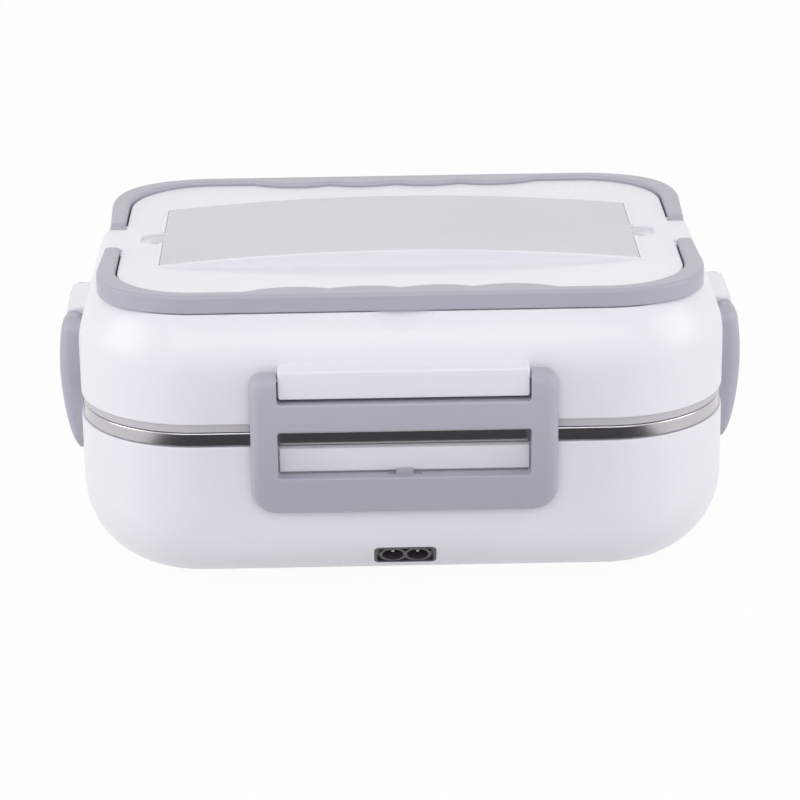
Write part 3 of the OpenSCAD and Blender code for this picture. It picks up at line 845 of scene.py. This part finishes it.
@dataclass
class Base:
    """Base shell with its catches and inlet opening, the steel container and the feet.

    Attributes:
        sweep: the tree that sweeps walls.
        scatter: the tree that copies small parts.
        round_out: radius from the side into the underside.
        container_inset: outline to container wall.
        container_round: radius from the container's wall into its floor.
        container_z0: underside of the container.
        steel: sheet thickness.
        rim_inset: outline to rolled rim.
        inlet_tilt: downward tilt of the inlet's face in degrees.
        inlet_room: width, height and corner radius of the inlet's opening.
        catch_low: underside of the catches.
        catch_out: how far the catches stand out.
        foot_radius: radius of a foot.
        foot_spot: the feet's distances from the middle, across and front to back.
    """

    sweep: RoundSweep
    scatter: Scatter
    round_out: float = 31.0
    container_inset: float = 7.5
    container_round: float = 26.0
    container_z0: float = 21.5
    steel: float = 0.8
    rim_inset: float = 0.8
    inlet_tilt: float = 40.0
    inlet_room: Triple = (22.1, 10.9, 2.0)
    catch_low: float = 48.4
    catch_out: float = 2.1
    foot_radius: float = 6.0
    foot_spot: Pair = (70.0, 46.0)

    def shell(self) -> bpy.types.Object:
        """The rounded base with its catches and the opening for the inlet.

        Returns:
            The shell.
        """
        low, top, wall = BODY.underside, BODY.base_top, BODY.wall
        flat = -self.round_out - 6
        section = rounded_path([
            (flat, low, 0), (0, low, self.round_out), (0, top, 0.3), (-wall, top, 0.3),
            (-wall, low + wall, self.round_out - wall), (flat, low + wall, 0),
        ])
        shell = self.sweep.wall("base_shell_white", section, WHITE_SHELL)
        combine(shell, Join.ADD, *(self.catch(side) for side in range(4)))
        opening = rounded_slab("opening", *self.inlet_room, -7, 6)
        tilt = Matrix.Rotation(math.radians(90 + self.inlet_tilt), 4, "X")
        centre = Vector((0, -(BODY.depth / 2 - self.round_out), low + self.round_out)) * MM
        reach = Matrix.Translation((0, 0, (self.round_out - 0.3) * MM))
        opening.data.transform(Matrix.Translation(centre) @ tilt @ reach)
        combine(shell, Join.CUT, opening)
        return dress(shell, WHITE_SHELL)

    def catch(self, side: int) -> bpy.types.Object:
        """The raised band that a latch's lower bar hooks under.

        Args:
            side: 0 front, 1 right, 2 back, 3 left.

        Returns:
            The catch.
        """
        low, high, out = self.catch_low, BODY.base_top - 0.05, self.catch_out
        section = rounded_path([(-1, low, 0), (out, low, 0.7), (out, high, 0.3), (-1, high, 0)])
        rings = []
        for x, inset in end_insets(BODY.latch_room(side, 0.3), 0.5):
            rings.append([
                (x, -min(out - inset, n) if n > 0 else -n, min(high - inset, max(low + inset, z)))
                for n, z in section
            ])
        return on_side("catch", rings, side)

    def container(self) -> bpy.types.Object:
        """The drawn steel container with its rolled rim.

        Returns:
            The container.
        """
        out, inner = -self.container_inset, -self.container_inset - self.steel
        low, top, t = self.container_z0, BODY.rim_top, self.steel
        rim, flat = -self.rim_inset, -self.container_inset - self.container_round - 3
        hem = BODY.base_top + 0.2
        section = rounded_path([
            (flat, low, 0), (out, low, self.container_round), (out, top - t, 0.5),
            (rim - t, top - t, 0.8), (rim - t, hem, 0.35), (rim, hem, 0.35), (rim, top, 0.5),
            (inner, top, 0.9), (inner, low + t, self.container_round - t), (flat, low + t, 0),
        ])
        return dress(self.sweep.wall("container_steel", section, STEEL), STEEL, 60)

    def feet(self) -> bpy.types.Object:
        """Four rubber feet with a domed rim and a shallow dish.

        Returns:
            The feet, as one piece.
        """
        foot = stacked("foot", circle((0, 0), self.foot_radius, 40), [
            (0.25, -3.4), (0.25, -2.2), (0.0, -1.5), (0.05, -0.8), (0.25, -0.3), (0.6, 0), (2.5, 0),
        ])
        across, along = self.foot_spot
        spots = [(x, y, 0.0) for x in (-across, across) for y in (-along, along)]
        return dress(self.scatter.place("feet_rubber", foot, spots, RUBBER), RUBBER, 50)

    def build(self) -> None:
        """Builds the base's pieces and reports them."""
        ride_as(self.shell(), "base", "white_shell", "base_shell")
        ride_as(self.container(), "container", "steel", "food_container")
        ride_as(self.feet(), "base", "foot_rubber", "feet")


# ---------------------------------------------------------------- lid


@dataclass
class Lid:
    """Domed lid with deck, cutlery well and hinge blocks, inner lid with seal strip, and cover.

    Attributes:
        sweep: the tree that sweeps walls.
        cover_width: width of the cutlery cover.
        cover_depth: depth of the cutlery cover.
        cover_thick: thickness of the cutlery cover.
        tab_out: how far the cover's finger tabs stand out.
        tab_half: half a finger tab's width.
        plinth: how far the arched band stands past the cover.
        notch: room past a tab's end, room beside it, and the corner radius of that room.
        skirt: clearance, thickness and depth below the deck of the cover's skirt.
        pit: width, depth and corner radius of the cutlery well.
        well_wall: thickness of the well's wall and floor.
        well_z0: floor of the cutlery well.
        block_low: underside of the hinge blocks.
        block_high: top of the hinge blocks.
        block_out: how far the hinge blocks stand out.
        pivot_block: how far the blocks between the handles' ends reach into the deck.
        pivot_gap: a handle's pin to the near face of its block.
        boss: radius of the bosses about the handles' pins.
        scoop_radius: radius of the grip scoops.
        scoop_depth: how deep the scoops hollow the shoulder.
        clips: places of the inner lid's clips along the front and back.
        clip_half: half a clip's width.
        clip_span: a clip's inner and outer face, from the middle.
        slide: gap between parts that lift past each other.
        end: how far in the flat walls of the lid run before they close.
    """

    sweep: RoundSweep
    cover_width: float = 172.0
    cover_depth: float = 70.7
    cover_thick: float = 1.8
    tab_out: float = 4.4
    tab_half: float = 4.6
    plinth: float = 1.5
    notch: Triple = (3.8, 2.0, 4.0)
    skirt: Triple = (0.3, 1.4, 4.5)
    pit: Triple = (164.0, 62.7, 8.0)
    well_wall: float = 2.0
    well_z0: float = 88.2
    block_low: float = 76.7
    block_high: float = 86.8
    block_out: float = 6.7
    pivot_block: float = 4.0
    pivot_gap: float = 3.7
    boss: float = 1.65
    scoop_radius: float = 40.0
    scoop_depth: float = 1.5
    clips: Triple = (-57.5, 0.0, 57.5)
    clip_half: float = 4.5
    clip_span: Pair = (80.7, 82.3)
    slide: float = 0.06
    end: float = -36.0

    def dome(self) -> bpy.types.Object:
        """The lid's wall and shoulder.

        Returns:
            The dome, hollow below.
        """
        wall, low, shoulder = BODY.wall, BODY.lid_edge, BODY.shoulder
        outer, inner = BODY.shoulder_radius, BODY.shoulder_radius - wall
        centre = (-BODY.shoulder_radius, shoulder)
        full = math.asin((BODY.ledge - shoulder) / outer)
        short = math.asin((BODY.ledge - wall - shoulder) / inner)
        skirt = [(-wall, shoulder - 1, 0), (-wall, low, 0.4), (0, low, 0.8), (0, shoulder - 1, 0)]
        section = [(self.end, BODY.ledge - wall), *arc(centre, inner, short, 0, 0.07)]
        section += rounded_path(skirt) + arc(centre, outer, 0, full, 0.05)
        section.append((self.end, BODY.ledge))
        return self.sweep.wall("lid_shell_white", section, WHITE_SHELL)

    def deck_outline(self) -> list[Pair]:
        """Outline of the raised deck, whose long edges follow the handles' humps.

        Returns:
            The outline, anticlockwise.
        """
        inset = BODY.ring_inset + BODY.ring_width + BODY.ring_gap
        half_w, half_d = BODY.width / 2 - inset, BODY.depth / 2 - inset
        radius = BODY.corner - inset
        points: list[Pair] = []
        for quarter in range(4):
            across = 1 if quarter in (0, 3) else -1
            along = 1 if quarter in (0, 1) else -1
            centre = ((half_w - radius) * across, (half_d - radius) * along)
            points += arc(centre, radius, quarter * math.pi / 2, (quarter + 1) * math.pi / 2, 0.09)
            if quarter in (0, 2):
                for x in BODY.hump_places():
                    points.append((x * along, (half_d - BODY.bulge(x, BODY.ring_gap)) * along))
        return points

    def arch_block(
        self, name: str, half_w: float, half_d: float, low: float, drop: float,
        high: float = 0.0, soften: float = 0.01,
    ) -> bpy.types.Object:
        """A block whose top or bottom follows the cover's arch.

        Args:
            name: name of the object.
            half_w: half its width.
            half_d: half its depth.
            low: its flat underside, or 0 where the underside follows the arch.
            drop: how far the arched face lies under the arch.
            high: flat top where the underside follows the arch.
            soften: rounding of the arched face's long edges.

        Returns:
            The block.
        """
        rings = []
        for x in span_points(-half_w, half_w, 3.0):
            arch = BODY.arch(x, drop)
            base, top = (low, arch) if low else (arch, high)
            corners = [
                (-half_d, base, 0), (half_d, base, 0), (half_d, top, soften), (-half_d, top, soften)
            ]
            rings.append([(x, y, z) for y, z in rounded_path(corners, closed=True)])
        return lofted(name, rings)

    def hinge_block(self, side: int) -> bpy.types.Object:
        """The block that a latch's pin passes through.

        Args:
            side: 0 front, 1 right, 2 back, 3 left.

        Returns:
            The block.
        """
        rings = []
        for x, inset in end_insets(BODY.latch_room(side, 0.45), 0.9):
            out, low, high = self.block_out - inset, self.block_low + inset, self.block_high - inset
            section = rounded_path([
                (-1, low, 0), (out, low, 0.5), (out, high, 1.0), (-1.5, high + 0.9, 0)
            ])
            rings.append([(x, -n, z) for n, z in section])
        return on_side("hinge_block", rings, side)

    def pin_boss(self, ends: Sequence[float], y: float) -> bpy.types.Object:
        """The round boss that closes the gap about a handle's pin."""
        ring = circle((y, BODY.pivot_z), self.boss, 28)
        return lofted("pin_boss", [[(x, across, up) for across, up in ring] for x in ends])

    def shell(self) -> bpy.types.Object:
        """The whole white lid.

        Returns:
            The lid shell.
        """
        lid = self.dome()
        deck_levels = edge_levels(BODY.ledge - 1.2, BODY.deck, 0, 0.5)
        deck = stacked("deck", self.deck_outline(), deck_levels)
        half_w, half_d = self.cover_width / 2, self.cover_depth / 2
        rim = self.plinth
        band = self.arch_block("band", half_w + rim, half_d + rim, BODY.ledge, 0, soften=0.45)
        wall = self.well_wall
        outside = [size + 2 * wall for size in self.pit[:2]] + [self.pit[2] + wall]
        well = rounded_slab("well_wall", *outside, self.well_z0 - wall, BODY.deck - 0.5)
        combine(lid, Join.ADD, deck, band, well)
        reach = BODY.width / 2 - BODY.ring_inset
        inner = reach - BODY.ring_width - BODY.ring_gap - self.pivot_block
        pivot = BODY.pivot_y - self.pivot_gap
        for sign in (-1, 1):
            first = (sign * inner, -pivot, BODY.ledge - 1)
            last = (sign * (reach - 0.3), pivot, BODY.deck - 0.04)
            combine(lid, Join.ADD, soft_block("pivot_block", first, last, 0.7))
            ends = sorted((sign * inner, sign * (reach - BODY.ring_width - 0.1)))
            for end in (-1, 1):
                combine(lid, Join.ADD, self.pin_boss(ends, end * BODY.pivot_y))
        combine(lid, Join.ADD, *(self.hinge_block(side) for side in range(4)))
        gap, above = self.slide, BODY.crown + 3
        drop = self.cover_thick + gap / 2
        seat = self.arch_block("seat", half_w + gap, half_d + gap, 0, drop, above)
        combine(lid, Join.CUT, seat, rounded_slab("pit", *self.pit, self.well_z0, above))
        past, beside, corner = self.notch
        half = self.tab_half + beside
        outline = rounded_box(-6, -half, self.tab_out + past, half, corner)
        for sign in (-1, 1):
            levels = edge_levels(BODY.deck - 1.3, BODY.deck, 0, 0.6, flare=True)
            notch = stacked("notch", outline, levels)
            turn = Matrix.Rotation(0 if sign > 0 else math.pi, 4, "Z")
            notch.data.transform(turn @ Matrix.Translation((half_w * MM, 0, 0)))
            combine(lid, Join.CUT, notch, self.scoop(sign))
        return dress(lid, WHITE_SHELL)

    def scoop(self, sign: int) -> bpy.types.Object:
        """The ball that hollows the shoulder under the middle of a handle.

        Args:
            sign: -1 at the front, 1 at the back.

        Returns:
            The ball.
        """
        ball = bpy.data.meshes.new("scoop")
        with edited(ball) as bm:
            bmesh.ops.create_icosphere(bm, subdivisions=6, radius=self.scoop_radius * MM)
        reach = (self.scoop_radius - self.scoop_depth) * math.sqrt(0.5)
        back, up = BODY.ring_depth / 2 + 0.2 + reach, BODY.ledge - 0.3 + reach
        place = Vector((0, sign * back, up)) * MM
        ball.transform(Matrix.Translation(place) @ Matrix.Rotation(0.3, 4, "X"))
        return new_object("scoop", ball)

    def inner_lid(self) -> bpy.types.Object:
        """The underside of the lid, whose skirt shows as the grey strip.

        Returns:
            The inner lid.
        """
        low, edge = BODY.rim_top + 0.2, BODY.lid_edge
        under, over, hem = edge - 0.9, edge + 0.9, low - 5
        lip_in, lip_out, channel, strip, step = -10.7, -9.1, -4.3, -0.9, -2.7
        section = rounded_path([
            (self.end, under, 0), (lip_in, under, 0.5), (lip_in, hem, 0.5), (lip_out, hem, 0.5),
            (lip_out, under, 0.4), (channel, under, 0.4), (channel, low, 0.4), (strip, low, 0.3),
            (strip, edge, 0.3), (step, edge, 0.2), (step, over, 0.3), (self.end, over, 0),
        ])
        lid = self.sweep.wall("seal_strip", section, STRIP)
        (near, far), half = self.clip_span, self.clip_half
        for x in self.clips:
            for sign in (-1, 1):
                first, last = (x - half, sign * near, edge + 0.2), (x + half, sign * far, edge + 6)
                combine(lid, Join.ADD, soft_block("clip", first, last, 0.4))
        return dress(lid, STRIP)

    def cover(self) -> bpy.types.Object:
        """The arched frosted cover with its skirt and finger tabs.

        Returns:
            The cover.
        """
        half_w, half_d, thick = self.cover_width / 2, self.cover_depth / 2, self.cover_thick
        corner, rim, steps = 2.0, 0.3, 8
        places = span_points(-(half_w - corner), half_w - corner, 3.0)
        for k in range(1, steps + 1):
            off = half_w - corner + corner * math.sin(math.pi / 2 * k / steps)
            places = [-off, *places, off]
        rings = []
        for x in places:
            past = max(0.0, abs(x) - (half_w - corner))
            width = half_d - corner + math.sqrt(max(0.0, corner**2 - past**2))
            near = half_w - abs(x)
            sink = rim - math.sqrt(max(0.0, rim**2 - max(0.0, rim - near) ** 2))
            top = BODY.arch(x) - sink
            low = BODY.arch(x) - thick + sink * 0.3
            soft = min(rim, top - low - 0.3)
            corners = [
                (-width, low, 0.25), (width, low, 0.25), (width, top, soft), (-width, top, soft)
            ]
            rings.append([(x, y, z) for y, z in rounded_path(corners, closed=True)])
        cover = lofted("cutlery_cover_frosted", rings)
        gap, sheet_thick, deep = self.skirt
        skirt_w, skirt_d = self.pit[0] / 2 - gap, self.pit[1] / 2 - gap
        outline = rounded_box(-skirt_w, -skirt_d, skirt_w, skirt_d, self.pit[2])
        outline = [p for q, r in zip(outline, outline[1:] + outline[:1]) for p in thread(q, r, 4.0)]
        low = BODY.deck - deep
        hoop = []
        for by, at_top in ((0, False), (0, True), (-sheet_thick, True), (-sheet_thick, False)):
            path = grown(outline, by)
            hoop.append([(x, y, BODY.arch(x) - 0.8 if at_top else low) for x, y in path])
        combine(cover, Join.ADD, lofted("skirt", hoop, looped=True))
        for sign in (-1, 1):
            first = (sign * (half_w - 1), -self.tab_half, BODY.deck - 1.15)
            last = (sign * (half_w + self.tab_out), self.tab_half, BODY.deck - 0.2)
            combine(cover, Join.ADD, soft_block("tab", first, last, 0.4))
        return dress(cover, COVER)

    def build(self) -> None:
        """Builds the lid's pieces and reports them."""
        ride_as(self.shell(), "lid", "white_shell", "lid_shell")
        ride_as(self.inner_lid(), "lid", "strip_plastic", "inner_lid")
        ride_as(self.cover(), "cover", "cover_plastic", "cutlery_cover")


# ---------------------------------------------------------------- handles


@dataclass
class Handles:
    """The two folding handles that make up the ring on the lid.

    Attributes:
        low: underside of the ring.
        thick: thickness of the ring.
        edge: rounding of the ring's upper edges.
        flare: how far the ring's outer face splays out where its corners begin.
    """

    low: float = 103.3
    thick: float = 6.5
    edge: float = 1.3
    flare: float = 1.65

    def ring(self, place: Pair, inward: Pair, width: float, share: float) -> list[Triple]:
        """The bar's section at one station.

        Args:
            place: point on the ring's outer face.
            inward: direction to its inner face.
            width: width of the bar there.
            share: height as a share of the bar's thickness, for the rounded ends.

        Returns:
            The closed section.
        """
        middle, half = self.low + self.thick / 2, self.thick / 2 * share
        soft, crisp = min(self.edge, half * 0.9), min(self.edge, half) * 0.5
        section = rounded_path([
            (0, middle - half, crisp), (width, middle - half, crisp), (width, middle + half, soft),
            (0, middle + half, soft),
        ], closed=True, steps=4)
        return [(place[0] + inward[0] * s, place[1] + inward[1] * s, z) for s, z in section]

    def handle(self, name: str, turn: float) -> bpy.types.Object:
        """One handle: both ends at its pivots, the humps along its middle.

        Args:
            name: name of the object.
            turn: 0 for the front handle, pi for the back one.

        Returns:
            The handle.
        """
        half_w, half_d = BODY.ring_span / 2, BODY.ring_depth / 2
        radius, width, pivot = BODY.corner - BODY.ring_inset, BODY.ring_width, BODY.pivot_y
        right: list[tuple[Pair, Pair, float, float]] = []
        for k in range(8, 0, -1):
            angle = math.radians(84) * k / 8
            back = self.thick / 2 * math.sin(angle)
            right.append(((half_w, -pivot + back), (-1, 0), width, math.cos(angle)))
        run = half_d - radius - pivot
        for past in span_points(0, run, 3.0)[:-1]:
            flare = self.flare * 0.6 * past / run
            right.append(((half_w + flare, -pivot - past), (-1, 0), width + flare, 1.0))
        for angle in span_points(0, math.pi / 2, 0.08):
            out = (math.cos(angle), -math.sin(angle))
            flare = self.flare * out[0] * (0.6 * out[0] + 1.5 * math.sin(2 * angle) ** 2)
            reach = radius + flare
            place = (half_w - radius + reach * out[0], -(half_d - radius) + reach * out[1])
            right.append((place, (-out[0], -out[1]), width + flare, 1.0))
        front = [
            ((x, -half_d), (0, 1), width + BODY.bulge(x), 1.0) for x in BODY.hump_places()
        ]
        left = [((-p[0], p[1]), (-d[0], d[1]), w, s) for p, d, w, s in reversed(right)]
        handle = lofted(name, [self.ring(*station) for station in right + front + left])
        handle.data.transform(Matrix.Rotation(turn, 4, "Z"))
        return dress(handle, GREY_PLASTIC)

    def build(self) -> None:
        """Builds both handles and reports them."""
        for title, turn in (("front", 0.0), ("back", math.pi)):
            piece = self.handle(f"{title}_handle_grey", turn)
            ride_as(piece, f"handle_{title}", "grey_plastic", f"{title}_handle")


# ---------------------------------------------------------------- latches


@dataclass
class Latch:
    """One clip latch: two arms, an upper bar, a window and a lower bar with a sprung tongue.

    Attributes:
        width: overall width.
        low: its lower edge.
        top: top of its arms.
        out: farthest that it stands out.
        bow_radius: radius of the bowed face.
        bow_z: height at which the face stands out farthest.
        window_low: lower edge of the window.
        window_high: upper edge of the window.
        bar_top: top of the upper bar.
        back: distance from the body to the latch's back.
        hook: distance from the body to the lower bar's back.
        edge: rounding of the front's outer edges.
        low_corner: radius of the lower corners, seen from the front.
        top_corner: radius of the arms' upper corners.
        tongue: half the tongue's width.
        slot: width of the slots beside the tongue.
    """

    width: float
    low: float = 33.8
    top: float = 85.7
    out: float = 9.4
    bow_radius: float = 100.0
    bow_z: float = 66.0
    window_low: float = 48.0
    window_high: float = 65.6
    bar_top: float = 75.4
    back: float = 1.0
    hook: float = 2.4
    edge: float = 4.2
    low_corner: float = 8.6
    top_corner: float = 6.0
    tongue: float = 3.05
    slot: float = 2.9

    @property
    def half(self) -> float:
        """Half the width between the arms."""
        return self.width / 2 - BODY.arm

    def face(self, z: float) -> float:
        """How far the bowed face stands out at a height."""
        return self.out - self.bow_radius + math.sqrt(self.bow_radius**2 - (z - self.bow_z) ** 2)

    def upright(self, piece: bpy.types.Object) -> bpy.types.Object:
        """Turns a solid that was stacked upwards so that its stack points to the front."""
        piece.data.transform(Matrix.Rotation(math.pi / 2, 4, "X"))
        return piece

    def block(
        self, name: str, first: Triple, last: Triple, soft: float = 0.25
    ) -> bpy.types.Object:
        """A small block between two corners given as (along, distance out, height)."""
        return soft_block(name, (first[0], -first[1], first[2]), (last[0], -last[1], last[2]), soft)

    def bow(self, piece: bpy.types.Object) -> None:
        """Bends the flat face to its bow, and leaves the hook's back where it is.

        Args:
            piece: the latch.
        """
        with edited(piece.data) as bm:
            for z in span_points(self.low, self.top, 2.2):
                bmesh.ops.bisect_plane(
                    bm, geom=[*bm.verts, *bm.edges, *bm.faces], dist=1e-7,
                    plane_co=(0, 0, z * MM), plane_no=(0, 0, 1),
                )
            for vert in bm.verts:
                n, z = -vert.co.y / MM, vert.co.z / MM
                if n > self.hook:
                    squeeze = (self.face(z) - self.hook) / (self.out - self.hook)
                    vert.co.y = -(self.hook + (n - self.hook) * squeeze) * MM

    def profile(self) -> bpy.types.Object:
        """The prism that rounds the arms' tops about their pin and the latch's foot.

        Returns:
            The prism.
        """
        pin, knuckle, low, back = BODY.pin_out, BODY.pin_out - 0.4, self.low, self.back
        start = math.pi + math.asin(math.sqrt(knuckle**2 - (pin - back) ** 2) / knuckle)
        section = [
            (14.0, low - 1), (back + 1.2, low - 1), (back + 0.4, low + 0.25), (back, low + 0.9),
            *arc((pin, BODY.pin_z), knuckle, start, math.pi / 2, 0.12),
            (6.0, self.top), (14.0, self.top + 0.01),
        ]
        half = self.width / 2 + 2
        return lofted("profile", [[(x, -n, z) for n, z in section] for x in (-half, half)])

    def make(self, name: str, side: int) -> bpy.types.Object:
        """Builds the latch for one side.

        Args:
            name: name of the object.
            side: 0 front, 1 right, 2 back, 3 left.

        Returns:
            The latch.
        """
        half, wide, out, hook = self.half, self.width / 2, self.out, self.hook
        low, top = self.low, self.top
        bend, turn = self.low_corner, self.top_corner
        corners = [(-wide, low, bend), (wide, low, bend), (wide, top, turn), (-wide, top, turn)]
        levels = edge_levels(self.back - 1.2, out, 0, self.edge)
        latch = self.upright(stacked(name, rounded_path(corners, closed=True), levels))
        combine(latch, Join.KEEP, self.profile())
        sill, lintel = self.window_low, self.window_high
        window = rounded_box(-half, sill, half, lintel, 1.2)
        gap = rounded_box(-half, self.bar_top, half, top + 12, 1.0)
        for title, shape in (("window", window), ("gap", gap)):
            levels = [(-4.0, 0.0)] + edge_levels(0, out, 0, 0.7, flare=True)
            combine(latch, Join.CUT, self.upright(stacked(title, shape, levels)))
        room = self.block("room", (-half, -6, low - 4), (half, hook, sill + 0.01))
        combine(latch, Join.CUT, room)
        for sign in (-1, 1):
            near, far = sign * self.tongue, sign * (self.tongue + self.slot)
            slot = self.block("slot", (near, hook - 1, sill - 5.5), (far, 5.2, sill + 2))
            near, far = sign * 1.1, sign * (half - 1.1)
            core = self.block("core", (near, -2, lintel + 2.2), (far, 6.0, self.bar_top - 2.2))
            combine(latch, Join.CUT, slot, core)
        self.bow(latch)
        first, last = (-self.tongue, hook, sill - 2), (self.tongue, hook + 1.6, sill + 1.6)
        combine(latch, Join.ADD, self.block("tongue", first, last, 0.3))
        latch.data.transform(side_turn(side))
        return dress(latch, GREY_PLASTIC, 32)


def build_latches() -> None:
    """Builds the four latches and reports them."""
    for side, title in enumerate(("front", "right", "back", "left")):
        piece = Latch(BODY.latch_width(side)).make(f"{title}_latch_grey", side)
        ride_as(piece, f"latch_{title}", "grey_plastic", f"{title}_latch")


# ---------------------------------------------------------------- studio


def sheet(
    name: str, low: Pair, high: Pair, height: float, shade: Triple, rough: float
) -> bpy.types.Object:
    """A flat rectangle with a plain material of its own.

    Args:
        name: name of the object.
        low: its left front corner in metres.
        high: its right back corner.
        height: its height.
        shade: its colour, linear.
        rough: its roughness.

    Returns:
        The rectangle.
    """
    corners = [low, (high[0], low[1]), high, (low[0], high[1])]
    piece = from_points(name, [(x, y, height) for x, y in corners], faces=[(0, 1, 2, 3)])
    mat = bpy.data.materials.new(name)
    mat.use_nodes = True
    inputs = mat.node_tree.nodes["Principled BSDF"].inputs
    inputs["Base Color"].default_value = (*shade, 1)
    inputs["Roughness"].default_value = rough
    piece.data.materials.append(mat)
    return piece


@dataclass(frozen=True)
class Lamp:
    """One soft box that faces the part.

    Attributes:
        name: name of the lamp.
        place: its centre in metres.
        size: its width and height in metres.
        power: its power in watts.
    """

    name: str
    place: Triple
    size: Pair
    power: float

    def hang(self) -> None:
        """Adds the lamp."""
        data = bpy.data.lights.new(self.name, "AREA")
        data.shape = "RECTANGLE"
        data.size, data.size_y = self.size
        data.energy = self.power
        lamp = new_object(self.name, data)
        lamp.location = self.place
        lamp.rotation_mode = "QUATERNION"
        aim = Vector((0, 0, 0.05)) - Vector(self.place)
        lamp.rotation_quaternion = aim.to_track_quat("-Z", "Y")


LAMPS = (
    Lamp("top_box", (0.0, -0.1, 1.3), (1.6, 1.2), 1.7),
    Lamp("front_box", (0.0, -1.4, 0.95), (1.7, 0.8), 7.4),
    Lamp("left_box", (-1.2, -0.3, 0.55), (0.9, 0.9), 6.3),
    Lamp("right_box", (1.2, -0.3, 0.55), (0.9, 0.9), 5.8),
    Lamp("back_box", (0.0, 1.2, 0.8), (1.6, 0.7), 2.2),
)


@dataclass
class Studio:
    """Camera, soft lights, floor and backdrop.

    Attributes:
        distance: camera to target in metres.
        elevation: camera above the horizon in degrees.
        turn: camera round the box, seen from above, in degrees.
        roll: camera about its own line of sight in degrees.
        focal_px: focal length in pixels of the photograph.
        pixels: width of the photograph.
        sensor: width of the camera's sensor in millimetres.
        target: the point the camera looks at.
    """

    distance: float = 1.1578
    elevation: float = 19.50
    turn: float = -0.85
    roll: float = -0.73
    focal_px: float = 3089.4
    pixels: float = 800.0
    sensor: float = 36.0
    target: Triple = (-0.00004, 0.0, 0.04357)

    def camera(self) -> None:
        """Sets the camera at the photograph's angle."""
        height, turn, roll = (math.radians(v) for v in (self.elevation, self.turn, self.roll))
        level = math.cos(height)
        back = Vector((math.sin(turn) * level, -math.cos(turn) * level, math.sin(height)))
        right = (-back).cross(Vector((0, 0, 1))).normalized()
        up = right.cross(-back)
        across = right * math.cos(roll) + up * math.sin(roll)
        upward = up * math.cos(roll) - right * math.sin(roll)
        data = bpy.data.cameras.new("camera")
        data.sensor_width = self.sensor
        data.lens = self.focal_px * self.sensor / self.pixels
        data.clip_start, data.clip_end = 0.05, 20.0
        cam = new_object("camera", data)
        turned = Matrix((across, upward, back)).transposed().to_4x4()
        place = Vector(self.target) + back * self.distance
        cam.matrix_world = Matrix.Translation(place) @ turned
        bpy.context.scene.camera = cam

    def world(self) -> None:
        """A pale room that shows as white behind the box and in its reflections."""
        world = bpy.data.worlds.new("room")
        bpy.context.scene.world = world
        world.use_nodes = True
        graph, room = Graph(world.node_tree), world.node_tree.nodes["Background"]
        graph.feed(room.inputs["Color"], (0.93, 0.94, 1.0, 1.0))
        graph.feed(room.inputs["Strength"], 0.4)
        white = graph.node("ShaderNodeBackground", Color=(1, 1, 1, 1), Strength=1.0)
        rays = graph.node("ShaderNodeLightPath").outputs
        seen = graph.combined("MAXIMUM", rays["Is Camera Ray"], rays["Is Transmission Ray"])
        through = graph.combined("MAXIMUM", seen, rays["Is Glossy Ray"])
        mix = graph.node("ShaderNodeMixShader", through, room.outputs[0], white.outputs[0])
        graph.feed(world.node_tree.nodes["World Output"].inputs["Surface"], mix.outputs[0])

    def floor(self) -> None:
        """A pale floor that keeps a faint shadow and runs out into white."""
        floor = sheet("floor", (-4.0, -4.0), (4.0, 4.0), 0.0, (0.8, 0.8, 0.81), 0.8)
        tree = floor.data.materials[0].node_tree
        graph, paper = Graph(tree), tree.nodes["Principled BSDF"]
        glow = graph.node("ShaderNodeEmission")
        rays = graph.node("ShaderNodeLightPath").outputs
        seen = graph.combined("MAXIMUM", rays["Is Camera Ray"], rays["Is Glossy Ray"])
        share = graph.combined("MULTIPLY", seen, 0.96)
        mix = graph.node("ShaderNodeMixShader", share, paper.outputs[0], glow.outputs[0])
        graph.feed(tree.nodes["Material Output"].inputs["Surface"], mix.outputs[0])

    def card(self) -> None:
        """A dark card on the floor in front, which only the steel and the gloss pick up."""
        card = sheet("card", (-0.2, -1.0), (0.2, -0.11), 0.002, (0.01, 0.01, 0.012), 0.9)
        card.visible_camera = card.visible_diffuse = False
        card.visible_shadow = card.visible_transmission = False

    def build(self) -> None:
        """Builds the whole studio."""
        self.camera()
        self.world()
        self.floor()
        self.card()
        for lamp in LAMPS:
            lamp.hang()
        bpy.context.scene.view_settings.view_transform = "Standard"


def keep_sizes() -> None:
    """Brings the view layer up to date once the pieces are built.
    """
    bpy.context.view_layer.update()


def main() -> None:
    """Builds the studio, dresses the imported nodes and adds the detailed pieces."""
    logging.basicConfig(level=logging.INFO, format="%(name)s: %(message)s")
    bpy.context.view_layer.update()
    Studio().build()
    dress_cad_nodes()
    sweep = RoundSweep()
    Base(sweep, Scatter()).build()
    Lid(sweep).build()
    Handles().build()
    build_latches()
    keep_sizes()


if __name__ == "__main__":
    main()
